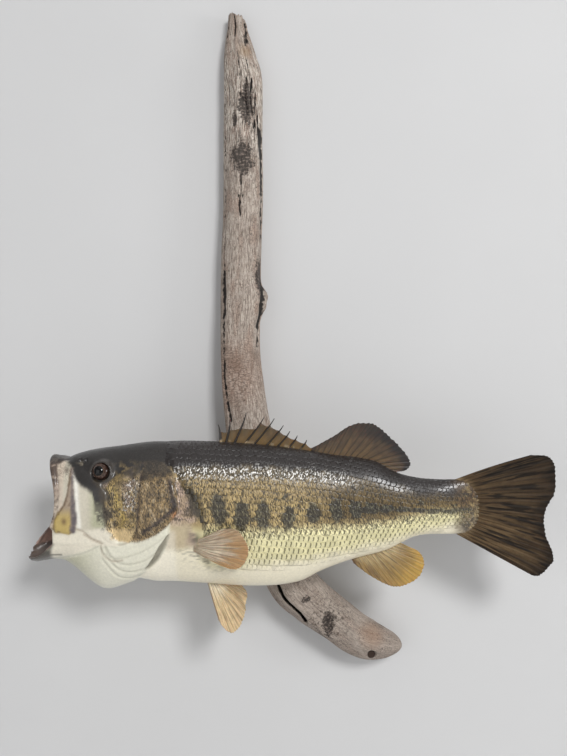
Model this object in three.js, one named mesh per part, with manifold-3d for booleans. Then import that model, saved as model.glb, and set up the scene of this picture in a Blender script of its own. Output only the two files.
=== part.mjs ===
// A largemouth bass mounted on a branch of driftwood, to hang on a wall. Millimetres, +Z up.
// The wall is the plane y = 0 and the fish faces -X. The origin is on the sawn back of the branch,
// below its keyhole plate. The fish is drawn in a frame of its own: x runs from the snout to the tail,
// y is 0 on its mid-plane with the left flank at negative y, and z is up.
import * as THREE from "three";
import { mergeVertices } from "three/addons/utils/BufferGeometryUtils.js";
import Module from "manifold-3d";

const wasm = await Module();
wasm.setup();

// ---- driving dimensions ----
const GAP = 0.3; // left between neighbouring pieces
const FISH_AT = new THREE.Vector3(-180, -86, -389); // where the fish's own origin hangs
const FISH_ROLL = THREE.MathUtils.degToRad(5); // the back leans away from the wall
const HEAD_TURN = { from: 120, reach: 140, out: 5 }; // how far the head swings out from the wall
const TAIL_TURN = { from: 200, reach: 280, out: 13 }; // how far the tail swings out from the wall
const NAPE = 100; // x of the cut between head and trunk
const TAIL_STOCK = 332; // x of the cut between trunk and tail stock

// Sections of the body: top, bottom and half width, mid (the height of the widest place),
// crown and keel (how square the upper and the lower half are; 2 is an ellipse).
const BODY = [
  { at: 17.6, top: 50.4, bottom: 44, half: 6, mid: 48, crown: 2, keel: 2 },
  { at: 25, top: 53.8, bottom: 36, half: 14.5, mid: 46, crown: 2.2, keel: 2 },
  { at: 35, top: 56.9, bottom: 27, half: 20, mid: 43, crown: 2.2, keel: 2.2 },
  { at: 49, top: 59.6, bottom: 8, half: 27, mid: 34, crown: 2.2, keel: 2.6 },
  { at: 58, top: 60.9, bottom: -14, half: 30.5, mid: 22, crown: 2.1, keel: 3 },
  { at: 66, top: 61.8, bottom: -34, half: 33, mid: 14, crown: 2, keel: 3.2 },
  { at: 78, top: 63.6, bottom: -45, half: 36, mid: 8, crown: 2, keel: 3 },
  { at: 96, top: 65.7, bottom: -58, half: 38.5, mid: 2, crown: 2, keel: 2.6 },
  { at: 124, top: 66.7, bottom: -70.4, half: 40, mid: -3, crown: 2, keel: 2.3 },
  { at: 153, top: 66.2, bottom: -72.5, half: 40.5, mid: -4, crown: 1.95, keel: 2.2 },
  { at: 180, top: 64.9, bottom: -74, half: 40, mid: -4, crown: 1.9, keel: 2.2 },
  { at: 200, top: 63.4, bottom: -73.7, half: 38.8, mid: -4, crown: 1.9, keel: 2.2 },
  { at: 224, top: 60.8, bottom: -72.1, half: 36, mid: -3, crown: 1.9, keel: 2.1 },
  { at: 240, top: 58.5, bottom: -67.6, half: 33.5, mid: -2, crown: 1.9, keel: 2 },
  { at: 254, top: 56.4, bottom: -60, half: 31, mid: 0, crown: 1.9, keel: 2 },
  { at: 270, top: 53.8, bottom: -53, half: 27.5, mid: 1, crown: 1.9, keel: 2 },
  { at: 292, top: 51.6, bottom: -45.4, half: 23, mid: 3, crown: 1.9, keel: 2 },
  { at: 311, top: 46.9, bottom: -40.3, half: 19.5, mid: 4, crown: 1.9, keel: 2 },
  { at: 322, top: 40.6, bottom: -36.4, half: 17.6, mid: 4, crown: 1.9, keel: 2 },
  { at: 333, top: 35.1, bottom: -30.4, half: 15.8, mid: 3.5, crown: 1.9, keel: 2 },
  { at: 346, top: 31.8, bottom: -24.6, half: 13.8, mid: 3.5, crown: 2, keel: 2 },
  { at: 370, top: 30, bottom: -23, half: 11, mid: 3.5, crown: 2, keel: 2 },
  { at: 388, top: 29.6, bottom: -23, half: 8, mid: 3.5, crown: 2, keel: 2 },
  { at: 398, top: 25.5, bottom: -18.5, half: 5.6, mid: 3.5, crown: 2, keel: 2 },
  { at: 408, top: 12, bottom: -6, half: 2.2, mid: 3.5, crown: 2, keel: 2 },
];

// Hoops of the lower jaw and throat, from the chin back: the keel's x and z, the rim's x, half width
// and z, and the height of the mouth's floor. The last hoop is the free edge of the gill membranes.
const HOOPS = [
  { keel: [-20.5, -43.5], rim: [-20.5, 0.8, -41.5], floor: -42.8 },
  { keel: [-17, -46.5], rim: [-17.6, 9, -38.4], floor: -43.4 },
  { keel: [-11, -47.4], rim: [-11, 16, -33], floor: -43.6 },
  { keel: [-2, -46], rim: [-3, 21, -26.5], floor: -42.6 },
  { keel: [8, -44.6], rim: [6, 25, -20], floor: -41 },
  { keel: [17.5, -46.6], rim: [18, 28.5, -17.5], floor: -41 },
  { keel: [28, -55], rim: [30, 31, -17.5], floor: -42 },
  { keel: [39, -65.5], rim: [44, 33.5, -18], floor: -44 },
  { keel: [50, -73.3], rim: [57, 35.5, -19], floor: -48 },
  { keel: [60, -73.6], rim: [72, 37.5, -21], floor: -56 },
  { keel: [70, -70.3], rim: [90, 40, -20], floor: -64 },
  { keel: [78.5, -67.3], rim: [106, 42.5, -11], floor: -63.6 },
  { keel: [81, -65.5], rim: [117.5, 43, -4], floor: -62.6 },
];
const HOOP_SWEEP = 2.3; // how late each hoop runs back towards its rim
const JAW_WALL = 3;
const MEMBRANE_WALL = 1.8;
const JAW_LINE = { x: 5, z: -46, slope: 0.436, joint: 58 }; // the jaw's lower edge, in side view

// Side wall of the open mouth: its half width grows from the lip to the cheek and closes over the top.
const MOUTH_SIDE = { x: 8, half: 27, spread: 0.1875, low: -12, height: 64, rise: 0.2, square: 2.6, round: 2.2 };

const LIP_PATH = [[8.6, -9.5], [10.4, 3], [10.2, 20], [8, 35], [4.4, 45.5]]; // x and z of the upper lip's side
const LIP_TOP = { x: 2.8, z: 49.4, radius: 4.4, end: 2.5 };
const SNOUT_ROOF = [
  { x: 4, half: 7, top: 52.5, bottom: 46.5 },
  { x: 9, half: 11.5, top: 52.8, bottom: 44 },
  { x: 16, half: 14, top: 52.4, bottom: 41 },
  { x: 24, half: 12, top: 50, bottom: 41 },
  { x: 29, half: 8, top: 47.5, bottom: 41 },
];

// Upper jaw bone of each side: front edge, rear edge in side view, and the small bone behind it.
const MAXILLA_FRONT = [[24, 45.5], [20.5, 26], [16.5, 10], [10.5, -4], [11.5, -12]];
const MAXILLA_REAR = [[27.6, 45], [28.6, 26], [29.2, 10], [29.6, -2], [28, -13.5]];
const SUPRAMAXILLA_FRONT = MAXILLA_REAR.map(([x, z]) => [x - 2.6, z + 0.2]); // its front is set into the maxilla
const SUPRAMAXILLA_REAR = [[28.6, 41], [31, 26], [32.8, 12], [33.2, 0], [30.6, -12.5]];
const MAXILLA = { lift: 2.8, wall: 3.3 };

// White skin between lip, upper jaw bone and cheek: front edge and rear edge in side view.
const SKIN_FRONT = [[11, 50], [8.5, 34], [10.5, 18], [10, 2], [8, -8], [7.6, -16.9]];
const SKIN_REAR = [[31, 50], [44, 38], [53, 24], [57, 8], [60, -6], [63, -17.6]];
const SKIN = { wall: 3, bulge: 2 };

// Cheek and gill cover of each side: outline in side view, round its own centre.
const COVER_OUTLINE = [
  [57, -14], [66, -22.5], [78, -25], [90, -22.8], [105.5, -13], [119, -1.5], [125.5, 8],
  [126, 15], [124, 28], [119, 42], [110, 51], [96, 54], [80, 47], [66, 33], [56.5, 18], [54.5, 2],
];
const COVER = { centre: [90, 14], jaw: 70, liftFront: 2.6, liftRear: 5.4, wallFront: 6.5, wallRear: 2.8 };
const PREOPERCLE = { x: 90.5, lean: 0.13, z: 10, flare: 16 }; // the cut between cheek and gill cover

const EYE = { x: 54, z: 42.2, radius: 9.2, out: 3.4 };
const TONGUE = { from: -4, to: 34, half: 11, z: -36, rise: 3, height: 5 };

// Fins: base and tip curves in side view, from the first ray to the last.
const FIN_ROOT = 3; // how deep a fin's base is sunk before it is cut to the body
const SPINES = [
  { base: 162.4, tip: [159.8, 81.8] },
  { base: 166.8, tip: [171, 86.4] },
  { base: 174.4, tip: [186.3, 93.2] },
  { base: 183.4, tip: [203.2, 89] },
  { base: 192.2, tip: [212.8, 87.6] },
  { base: 203.6, tip: [221.4, 81.2] },
  { base: 214.2, tip: [227.4, 75.6] },
  { base: 224.6, tip: [234.4, 71.4] },
  { base: 235, tip: [243.2, 67.2] },
];
const SPINE = { radius: 1.1, point: 0.35, sides: 4, webFront: 0.6, webRear: 0.85, web: 0.6 };
const SOFT_DORSAL = {
  base: [247, 320],
  tip: [[249, 60.5], [269.4, 71.6], [290.5, 82.6], [303, 83.4], [318, 74.8], [328.9, 64.3], [338.1, 51.8], [341.2, 44.4], [335.6, 37.6]],
};
const ANAL = {
  base: [285, 330],
  tip: [[288.5, -51.6], [301.8, -61.6], [317.3, -70.2], [327.5, -73.4], [338.5, -71.2], [350.6, -62.4], [355.2, -49.4], [350.4, -38.8], [339.4, -33.4]],
};
const CAUDAL = {
  base: [[386, 29.8], [396, 25.5], [404.5, 16], [408.5, 3.5], [404.5, -9], [396, -18.6], [386, -23]],
  tip: [
    [466, 52.4], [474.6, 49.4], [478.4, 41], [478.9, 27], [477, 12.5], [472, 2], [469, -7], [470.2, -20],
    [474.4, -32], [478.6, -43.5], [478.2, -52], [473.4, -58.4], [465, -64],
  ],
  bow: 3,
};
const PECTORAL = {
  base: [[140, -20], [139.4, -29.5]],
  tip: [[167.5, -4.6], [180, -6], [188.6, -17.6], [190.8, -26], [187, -37.4], [177.8, -42.8], [164, -39]],
  out: 10,
  farTurn: -34, // degrees that the right fin hangs lower, clear of the branch
};
const PELVIC = {
  base: [[149, -68], [163, -68.5]],
  tip: [[160.5, -102.5], [166.5, -110.6], [172.6, -114.2], [178.2, -111], [182.6, -104], [185.6, -95], [186.2, -87], [178.6, -76.4]],
  in: 7,
  out: 10,
};
const FIN = { thickRoot: 2.4, thickEdge: 0.7 };

// Driftwood: the branch's centre line with its radius, from the broken top to the round foot.
const BRANCH = [
  { x: -10, y: -9, z: 112, r: 5 },
  { x: -7, y: -10, z: 90, r: 11.6 },
  { x: -2.4, y: -11, z: 60, r: 17 },
  { x: 0.6, y: -12, z: 20, r: 20 },
  { x: 0.8, y: -14, z: -82, r: 20 },
  { x: -2.4, y: -18, z: -184, r: 20.4 },
  { x: -2.6, y: -21, z: -240, r: 20 },
  { x: 3.2, y: -24.5, z: -297, r: 21.6 },
  { x: 13.5, y: -27, z: -358, r: 24 },
  { x: 30, y: -26.5, z: -424, r: 25 },
  { x: 51, y: -24.5, z: -471, r: 24.6 },
  { x: 77, y: -23, z: -499, r: 23 },
  { x: 98, y: -22, z: -514, r: 20.6 },
  { x: 118, y: -21, z: -526.2, r: 20.2 },
  { x: 134, y: -20.5, z: -533, r: 18 },
  { x: 147, y: -20.5, z: -536, r: 14.5 },
  { x: 156, y: -20.5, z: -537.6, r: 9.5 },
  { x: 161, y: -20.5, z: -538, r: 4 },
];
const BURL = { at: [17, -20, -180], radii: [9, 12, 27] };
const SPLIT = [[34.6, -466], [42.4, -483.4], [51.6, -492.7], [58.7, -499.9], [63.8, -507]]; // x and z of the open split
const SPLIT_WIDTH = 2.4;
const SPLIT_DEPTH = 12;
// Sawtooth hanger in a pocket of the flat back, held by two nails.
const HANGER = { z: 24, length: 28, height: 8, thick: 1, rise: 1.3, pocket: [31, 3, 11], teeth: 5, pitch: 2.6 };
const NAIL = { x: 11.4, head: 1.9, headThick: 0.7, shank: 0.7, length: 9 };
const BODY_SCREWS = [[14, -368], [24, -406]]; // x and z of the screws that hold the fish
const BODY_SCREW = { head: 4.2, shank: 2, sink: 4, reach: 58 };
const FOOT_SCREW = { x: 130, z: -542.4, front: -36.6, head: 3.6, sink: 3, shank: 1.8, reach: 16 };

// ---- helpers ----
const V3 = (x, y, z) => new THREE.Vector3(x, y, z);
const lerp = THREE.MathUtils.lerp;
const smooth = (t) => THREE.MathUtils.smoothstep(t, 0, 1);
const power = (value, n) => Math.sign(value) * Math.abs(value) ** n;

// A smooth curve through points of two or three numbers; its parameter t runs from 0 to 1.
function through(points, closed = false) {
  const curve = new THREE.CatmullRomCurve3(
    points.map(([a, b, c = 0]) => V3(a, b, c)), closed, "catmullrom", 0.5);
  return (t) => curve.getPoint(t);
}

// A station table read at x: each slope is the mean of its neighbours', weighted by their spans.
function station(rows, x) {
  const last = rows.length - 1;
  let i = rows.findIndex((row) => row.at > x) - 1;
  if (i === -2) i = last - 1;
  i = Math.max(0, i);
  const t = THREE.MathUtils.clamp((x - rows[i].at) / (rows[i + 1].at - rows[i].at), 0, 1);
  const chord = (j, key) => (rows[j + 1][key] - rows[j][key]) / (rows[j + 1].at - rows[j].at);
  const slope = (j, key) => {
    if (j === 0) return chord(0, key);
    if (j === last) return chord(last - 1, key);
    const before = rows[j].at - rows[j - 1].at;
    const after = rows[j + 1].at - rows[j].at;
    return (chord(j, key) * before + chord(j - 1, key) * after) / (before + after);
  };
  const span = rows[i + 1].at - rows[i].at;
  const read = (key) =>
    rows[i][key] * (2 * t ** 3 - 3 * t ** 2 + 1) + rows[i + 1][key] * (3 * t ** 2 - 2 * t ** 3) +
    span * (slope(i, key) * (t ** 3 - 2 * t ** 2 + t) + slope(i + 1, key) * (t ** 3 - t ** 2));
  return Object.fromEntries(Object.keys(rows[0]).map((key) => [key, read(key)]));
}

function geometryOf(points, triangles) {
  const geometry = new THREE.BufferGeometry();
  geometry.setAttribute("position", new THREE.Float32BufferAttribute(points.flatMap((p) => p.toArray()), 3));
  geometry.setIndex(triangles);
  return geometry;
}

// Closed skin over rings of equal length, with a point in the middle of each end.
function loft(rings) {
  const n = rings[0].length;
  const points = rings.flat();
  const triangles = [];
  for (let i = 0; i + 1 < rings.length; i++)
    for (let j = 0; j < n; j++) {
      const [a, b] = [i * n + j, i * n + ((j + 1) % n)];
      triangles.push(a, b, b + n, a, b + n, a + n);
    }
  for (const [ring, flip] of [[0, false], [rings.length - 1, true]]) {
    const centre = rings[ring].reduce((sum, p) => sum.add(p), V3(0, 0, 0)).divideScalar(n);
    const tip = points.push(centre) - 1;
    for (let j = 0; j < n; j++) {
      const [a, b] = [ring * n + j, ring * n + ((j + 1) % n)];
      triangles.push(...(flip ? [a, b, tip] : [b, a, tip]));
    }
  }
  return geometryOf(points, triangles);
}

// Closed slab between two grids of the same size, outer[i][j] and inner[i][j].
function slab(outer, inner) {
  const [rows, columns] = [outer.length, outer[0].length];
  const points = [...outer.flat(), ...inner.flat()];
  const triangles = [];
  const quad = (a, b, c, d) => triangles.push(a, b, c, a, c, d);
  const out = (i, j) => i * columns + j;
  const back = (i, j) => rows * columns + i * columns + j;
  for (let i = 0; i + 1 < rows; i++)
    for (let j = 0; j + 1 < columns; j++) {
      quad(out(i, j), out(i + 1, j), out(i + 1, j + 1), out(i, j + 1));
      quad(back(i, j), back(i, j + 1), back(i + 1, j + 1), back(i + 1, j));
    }
  for (let i = 0; i + 1 < rows; i++) {
    quad(out(i, 0), back(i, 0), back(i + 1, 0), out(i + 1, 0));
    quad(out(i, columns - 1), out(i + 1, columns - 1), back(i + 1, columns - 1), back(i, columns - 1));
  }
  for (let j = 0; j + 1 < columns; j++) {
    quad(out(0, j), out(0, j + 1), back(0, j + 1), back(0, j));
    quad(out(rows - 1, j), back(rows - 1, j), back(rows - 1, j + 1), out(rows - 1, j + 1));
  }
  return geometryOf(points, triangles);
}

const grid = (rows, columns, at) =>
  Array.from({ length: rows + 1 }, (_, i) =>
    Array.from({ length: columns + 1 }, (_, j) => at(i / rows, j / columns)));

// A geometry as a solid, facing out; grow moves its faces out, for the room its neighbours leave.
function solid(geometry, grow = 0) {
  const plain = geometry.index ? geometry.clone() : geometry;
  for (const name of Object.keys(plain.attributes)) if (name !== "position") plain.deleteAttribute(name);
  const merged = mergeVertices(plain, 1e-4);
  if (grow) moveOut(merged, volumeOf(merged) < 0 ? -grow : grow);
  const triVerts = new Uint32Array(merged.index.array);
  if (volumeOf(merged) < 0)
    for (let i = 0; i < triVerts.length; i += 3)
      [triVerts[i + 1], triVerts[i + 2]] = [triVerts[i + 2], triVerts[i + 1]];
  return new wasm.Manifold(
    new wasm.Mesh({ numProp: 3, vertProperties: merged.attributes.position.array, triVerts }));
}

// Moves each face out by a distance: a corner goes along the mean of its faces, by as much as they need.
function moveOut(geometry, distance) {
  const [position, index] = [geometry.attributes.position, geometry.index.array];
  const corner = (k) => V3().fromBufferAttribute(position, index[k]);
  const faces = Array.from({ length: position.count }, () => []);
  for (let k = 0; k < index.length; k += 3) {
    const points = [corner(k), corner(k + 1), corner(k + 2)];
    const normal = points[1].clone().sub(points[0]).cross(points[2].clone().sub(points[0]));
    if (normal.length() < 1e-9) continue;
    normal.normalize();
    points.forEach((point, i) => {
      const angle = points[(i + 1) % 3].clone().sub(point).angleTo(points[(i + 2) % 3].clone().sub(point));
      faces[index[k + i]].push([normal, angle]);
    });
  }
  const moves = faces.map((around) => {
    const mean = around.reduce((sum, [normal, angle]) => sum.addScaledVector(normal, angle), V3(0, 0, 0)).normalize();
    const least = Math.min(...around.map(([normal]) => normal.dot(mean)));
    return mean.multiplyScalar(distance / Math.max(least, 0.4));
  });
  moves.forEach((move, i) =>
    position.setXYZ(i, position.getX(i) + move.x, position.getY(i) + move.y, position.getZ(i) + move.z));
}

function volumeOf(geometry) {
  const [position, index] = [geometry.attributes.position, geometry.index.array];
  const corner = (k) => V3().fromBufferAttribute(position, index[k]);
  let six = 0;
  for (let k = 0; k < index.length; k += 3) six += corner(k).dot(corner(k + 1).cross(corner(k + 2)));
  return six;
}

const largest = (made) => made.decompose().reduce((a, b) => (a.volume() >= b.volume() ? a : b));
const without = (made, ...others) => largest(others.reduce((rest, other) => rest.subtract(other), made));

// A shape drawn in side view, x and z, and extruded right across the fish.
function acrossFish(outline, reach = 90) {
  const shape = new THREE.Shape(outline.map(([x, z]) => new THREE.Vector2(x, z)));
  return new THREE.ExtrudeGeometry(shape, { depth: 2 * reach, bevelEnabled: false })
    .translate(0, 0, -reach).rotateX(Math.PI / 2);
}

// ---- the fish, straight, in its own frame ----
function bodyRing(x, sides = 20) {
  const s = station(BODY, x);
  return Array.from({ length: sides }, (_, k) => {
    const angle = (2 * Math.PI * k) / sides;
    const [c, v] = [Math.cos(angle), Math.sin(angle)];
    const square = 2 / (v > 0 ? s.crown : s.keel);
    const reach = v > 0 ? s.top - s.mid : s.mid - s.bottom;
    return V3(x, s.half * power(c, square), s.mid + reach * power(v, square));
  });
}

function bodyGeometry() {
  return loft(BODY.map((row) => bodyRing(row.at)));
}

// Half width of the body at height z in the section at x.
function bodyHalf(x, z) {
  const s = station(BODY, x);
  const [reach, square] = z > s.mid ? [s.top - s.mid, s.crown] : [s.mid - s.bottom, s.keel];
  return s.half * (1 - Math.min(Math.abs(z - s.mid) / reach, 1) ** square) ** (1 / square);
}

// One point of the jaw's trough: hoop t from chin to gills, a from one rim (-1) over the keel to the other.
function hoopPoint(t, a, inside) {
  const step = t * (HOOPS.length - 1);
  const read = (pick) => through(HOOPS.map((hoop) => [pick(hoop), 0]))(t).x;
  const [sine, cosine] = [Math.sin((a * Math.PI) / 2), Math.cos((a * Math.PI) / 2)];
  const wall = lerp(JAW_WALL, MEMBRANE_WALL, smooth((step - 7) / 4)) * Math.min(1, step / 2);
  const half = Math.max(read((h) => h.rim[1]) - (inside ? wall : 0), 0.3);
  const rimZ = read((h) => h.rim[2]);
  const keelZ = inside ? read((h) => h.floor) : read((h) => h.keel[1]);
  const keelX = read((h) => h.keel[0]) + (inside && step < 2 ? 1.2 * (1 - step / 2) : 0);
  return V3(
    lerp(keelX, read((h) => h.rim[0]), Math.abs(sine) ** HOOP_SWEEP),
    half * sine,
    rimZ - (rimZ - keelZ) * Math.abs(cosine) ** (inside ? 0.8 : 1));
}

const troughGeometry = () =>
  slab(grid(14, 10, (t, a) => hoopPoint(t, 2 * a - 1, false)), grid(14, 10, (t, a) => hoopPoint(t, 2 * a - 1, true)));

const jawLine = (x) => JAW_LINE.z + JAW_LINE.slope * (x - JAW_LINE.x);

function jawRegion(grow) {
  const end = JAW_LINE.joint + grow;
  return solid(acrossFish([[-60, jawLine(-60) - grow], [end, jawLine(end) - grow], [end, 20], [-60, 20]]));
}

// Half width of the mouth's side wall at x, z.
function mouthHalf(x, z) {
  const m = MOUTH_SIDE;
  const half = m.half + m.spread * (x - m.x);
  const share = Math.min(Math.max(z - m.low, 0) / (m.height + m.rise * (x - m.x)), 0.995);
  return half * (1 - share ** m.square) ** (1 / m.round);
}

// A slab on the mouth's side wall between a front and a rear edge drawn in side view.
function sidePlate(front, rear, side, { lift = 0, wall, bulge = 0, rows = 6, columns = 2 }) {
  const [edgeA, edgeB] = [through(front), through(rear)];
  const at = (depth) => (t, a) => {
    const [p, q] = [edgeA(t), edgeB(t)];
    const [x, z] = [lerp(p.x, q.x, a), lerp(p.y, q.y, a)];
    const swell = bulge * Math.sin(Math.PI * a) * Math.sin(Math.PI * Math.min(t * 1.1, 1));
    return V3(x, side * (mouthHalf(x, z) + lift + swell - depth), z);
  };
  return slab(grid(rows, columns, at(0)), grid(rows, columns, at(wall)));
}

function lipGeometry() {
  const side = LIP_PATH.map(([x, z]) => [x, mouthHalf(x, z) - 1, z]);
  const points = [...side, [LIP_TOP.x, 0, LIP_TOP.z], ...side.toReversed().map(([x, y, z]) => [x, -y, z])];
  const curve = new THREE.CatmullRomCurve3(points.map(([x, y, z]) => V3(x, y, z)));
  const [steps, sides] = [16, 6];
  const frames = curve.computeFrenetFrames(steps);
  const ring = (i) => {
    const t = i / steps;
    const radius = lerp(LIP_TOP.end, LIP_TOP.radius, smooth(1 - Math.abs(2 * t - 1)));
    return Array.from({ length: sides }, (_, k) => {
      const angle = (2 * Math.PI * k) / sides;
      return curve.getPoint(t)
        .addScaledVector(frames.normals[i], radius * Math.cos(angle))
        .addScaledVector(frames.binormals[i], radius * Math.sin(angle));
    });
  };
  return loft(Array.from({ length: steps + 1 }, (_, i) => ring(i)));
}

// The roof of the snout, from the lip back to the head: its top follows the profile of the back.
function snoutRoof() {
  return loft(SNOUT_ROOF.map(({ x, half, top, bottom }) =>
    Array.from({ length: 14 }, (_, k) => {
      const angle = (2 * Math.PI * k) / 14;
      const [c, v] = [Math.cos(angle), Math.sin(angle)];
      return V3(x, half * power(c, 0.8), lerp(bottom, top, (power(v, 0.9) + 1) / 2));
    })));
}

// Outer face of cheek and gill cover: the body's own width and a lift that grows to the rear. In front
// of COVER.jaw the body rises to the palate, so the width there is taken from further back.
function coverHalf(x, z) {
  const from = Math.max(x, COVER.jaw);
  const narrower = station(BODY, from).half - station(BODY, x).half;
  const back = smooth((x - 60) / 62);
  const high = smooth((z - 30) / 26);
  return bodyHalf(from, Math.max(z, -20)) - narrower +
    lerp(COVER.liftFront, COVER.liftRear, back) * (1 - 0.55 * high) - 1.5 * smooth((-8 - z) / 18);
}

function coverGeometry(side) {
  const outline = through(COVER_OUTLINE, true);
  const [rings, sides] = [2, 22];
  const at = (share, k, inside) => {
    const edge = outline((k % sides) / sides);
    const [x, z] = [lerp(COVER.centre[0], edge.x, share), lerp(COVER.centre[1], edge.y, share)];
    const wall = lerp(COVER.wallFront, COVER.wallRear, smooth((x - 84) / 36));
    return V3(x, side * (coverHalf(x, z) - (inside ? wall : 0)), z);
  };
  const face = (inside, shares) =>
    shares.map((share) => Array.from({ length: sides }, (_, k) => at(share, k, inside)));
  const shares = Array.from({ length: rings }, (_, i) => (i + 1) / rings);
  return loft([...face(false, shares), ...face(true, shares.toReversed())]);
}

function cheekRegion(grow) {
  const front = (z) => PREOPERCLE.x + PREOPERCLE.lean * (z - PREOPERCLE.z) -
    PREOPERCLE.flare * smooth((-4 - z) / 22) + grow;
  const heights = [70, 50, 30, 10, -4, -12, -20, -40];
  return solid(acrossFish([[20, 70], ...heights.map((z) => [front(z), z]), [20, -40]]));
}

const eyeGeometry = (side) =>
  new THREE.SphereGeometry(EYE.radius, 12, 8)
    .translate(EYE.x, side * (bodyHalf(EYE.x, EYE.z) + EYE.out - EYE.radius), EYE.z);

function tongueGeometry() {
  const length = TONGUE.to - TONGUE.from;
  return new THREE.SphereGeometry(1, 10, 6)
    .scale(length / 2, TONGUE.half, TONGUE.height)
    .rotateY(-Math.atan2(TONGUE.rise, length))
    .translate((TONGUE.from + TONGUE.to) / 2, 0, TONGUE.z);
}

// A fin as a slab: columns are rays from the base curve to the tip curve; lean gives y at a ray and a share.
function finGeometry({ base, tip, rays = 10, steps = 2, lean = () => 0, bow = 0 }) {
  const point = (ray, share) => {
    const [p, q] = [base(ray), tip(ray)];
    const z = lerp(p.y, q.y, share) + bow * (1 - 2 * ray) * Math.sin(Math.PI * share);
    return [lerp(p.x, q.x, share), z];
  };
  const face = (side) => (ray, share) => {
    const [x, z] = point(ray, share);
    const taper = Math.sin(Math.PI * THREE.MathUtils.clamp(ray, 0.06, 0.94)) ** 0.3;
    return V3(x, lean(ray, share) + (side * taper * lerp(FIN.thickRoot, FIN.thickEdge, share)) / 2, z);
  };
  return slab(grid(rays, steps, face(1)), grid(rays, steps, face(-1)));
}

function backFin({ base: [from, to], tip }, key, sink) {
  return finGeometry({
    base: (t) => {
      const x = lerp(from, to, t);
      return V3(x, station(BODY, x)[key] - sink, 0);
    },
    tip: through(tip),
  });
}

// Web between the spines: it leaves each spine high on its rear side and meets the next one lower.
function spineWeb() {
  const foot = (spine) => [spine.base, station(BODY, spine.base).top - FIN_ROOT];
  const along = (spine, share) => foot(spine).map((value, i) => lerp(value, spine.tip[i], share));
  const columns = SPINES.flatMap((spine, i) => {
    const next = SPINES[i + 1] ?? { base: 246, tip: [250, 62] };
    const ends = [along(spine, SPINE.webRear), along(next, SPINE.webFront)];
    return [0.02, 0.5, 0.98].map((t) => ({
      foot: foot(spine).map((value, k) => lerp(value, foot(next)[k], t)),
      head: [lerp(ends[0][0], ends[1][0], t), lerp(ends[0][1], ends[1][1], t) - 3 * Math.sin(Math.PI * t) * (1 - i / 14)],
    }));
  });
  const face = (side) => columns.map(({ foot: low, head }) =>
    [0, 1].map((share) => V3(lerp(low[0], head[0], share), side * lerp(0.6, SPINE.web / 2, share), lerp(low[1], head[1], share))));
  return slab(face(1), face(-1));
}

function spineGeometry({ base, tip }) {
  const foot = V3(base, 0, station(BODY, base).top - FIN_ROOT);
  const head = V3(tip[0], 0, tip[1]);
  const length = head.distanceTo(foot);
  return new THREE.CylinderGeometry(SPINE.point, SPINE.radius, length, SPINE.sides)
    .rotateX(Math.PI / 2)
    .applyQuaternion(new THREE.Quaternion().setFromUnitVectors(V3(0, 0, 1), head.clone().sub(foot).normalize()))
    .translate(...foot.clone().lerp(head, 0.5).toArray());
}

function pectoralGeometry(side) {
  const root = V3(PECTORAL.base[0][0], 0, PECTORAL.base[0][1] - 5);
  const turn = side > 0 ? THREE.MathUtils.degToRad(PECTORAL.farTurn) : 0;
  const out = side > 0 ? PECTORAL.out * 0.4 : PECTORAL.out;
  const start = bodyHalf(root.x, root.z) - 1.5;
  return finGeometry({
    base: through(PECTORAL.base),
    tip: through(PECTORAL.tip),
    rays: 9,
    lean: (ray, share) => side * (start + 3.4 * smooth(share * 2.4) + out * share ** 1.4 - 2 * ray * share),
  }).translate(-root.x, 0, -root.z).rotateY(-turn).translate(root.x, 0, root.z);
}

const pelvicGeometry = (side) =>
  finGeometry({
    base: through(PELVIC.base),
    tip: through(PELVIC.tip),
    rays: 8,
    lean: (ray, share) => side * (PELVIC.in + PELVIC.out * share + 2 * ray * share),
  });

// ---- the branch and its fittings, in the wall's frame ----
function branchGeometry() {
  const centre = through(BRANCH.map((b) => [b.x, b.y, b.z]));
  const radius = through(BRANCH.map((b) => [b.r, 0]));
  const [steps, sides] = [30, 16];
  const ring = (i) => {
    const t = i / steps;
    const [here, ahead] = [centre(t), centre(Math.min(t + 0.01, 1)).sub(centre(Math.max(t - 0.01, 0)))];
    const along = ahead.normalize();
    const side = V3(0, 1, 0).cross(along).normalize();
    const front = along.clone().cross(side);
    return Array.from({ length: sides }, (_, k) => {
      const angle = (2 * Math.PI * k) / sides;
      const rough = 1 + 0.035 * Math.sin(3 * angle + 7 * t) + 0.03 * Math.sin(5 * angle - 19 * t);
      return here.clone()
        .addScaledVector(side, radius(t).x * rough * Math.cos(angle))
        .addScaledVector(front, radius(t).x * rough * Math.sin(angle));
    });
  };
  return loft(Array.from({ length: steps + 1 }, (_, i) => ring(i)));
}

function splitGeometry() {
  const path = through(SPLIT);
  const [front, back] = [-54, -54 + SPLIT_DEPTH + 18];
  const face = (side) => (t, depth) => {
    const [p, ahead] = [path(t), path(Math.min(t + 0.02, 1)).sub(path(Math.max(t - 0.02, 0)))];
    const across = V3(-ahead.y, 0, ahead.x).normalize();
    const width = (SPLIT_WIDTH / 2) * Math.sin(Math.PI * lerp(0.2, 0.9, t)) * lerp(1, 0.3, depth);
    return V3(p.x, lerp(front, back, depth), p.y).addScaledVector(across, side * width);
  };
  return slab(grid(6, 1, face(1)), grid(6, 1, face(-1)));
}

const rodAlongY = (radius, from, to, x, z, sides = 10) =>
  new THREE.CylinderGeometry(radius, radius, to - from, sides).translate(x, (from + to) / 2, z);

// A countersunk screw along y: head at its rear end, shank towards the front.
function screwGeometry({ head, shank, sink, reach }, x, z) {
  const profile = [[0, -reach], [shank, -reach], [shank, -head * 0.8], [head, 0], [0, 0]];
  return new THREE.LatheGeometry(profile.map(([r, y]) => new THREE.Vector2(r, y)), 10).translate(x, -sink, z);
}

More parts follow.
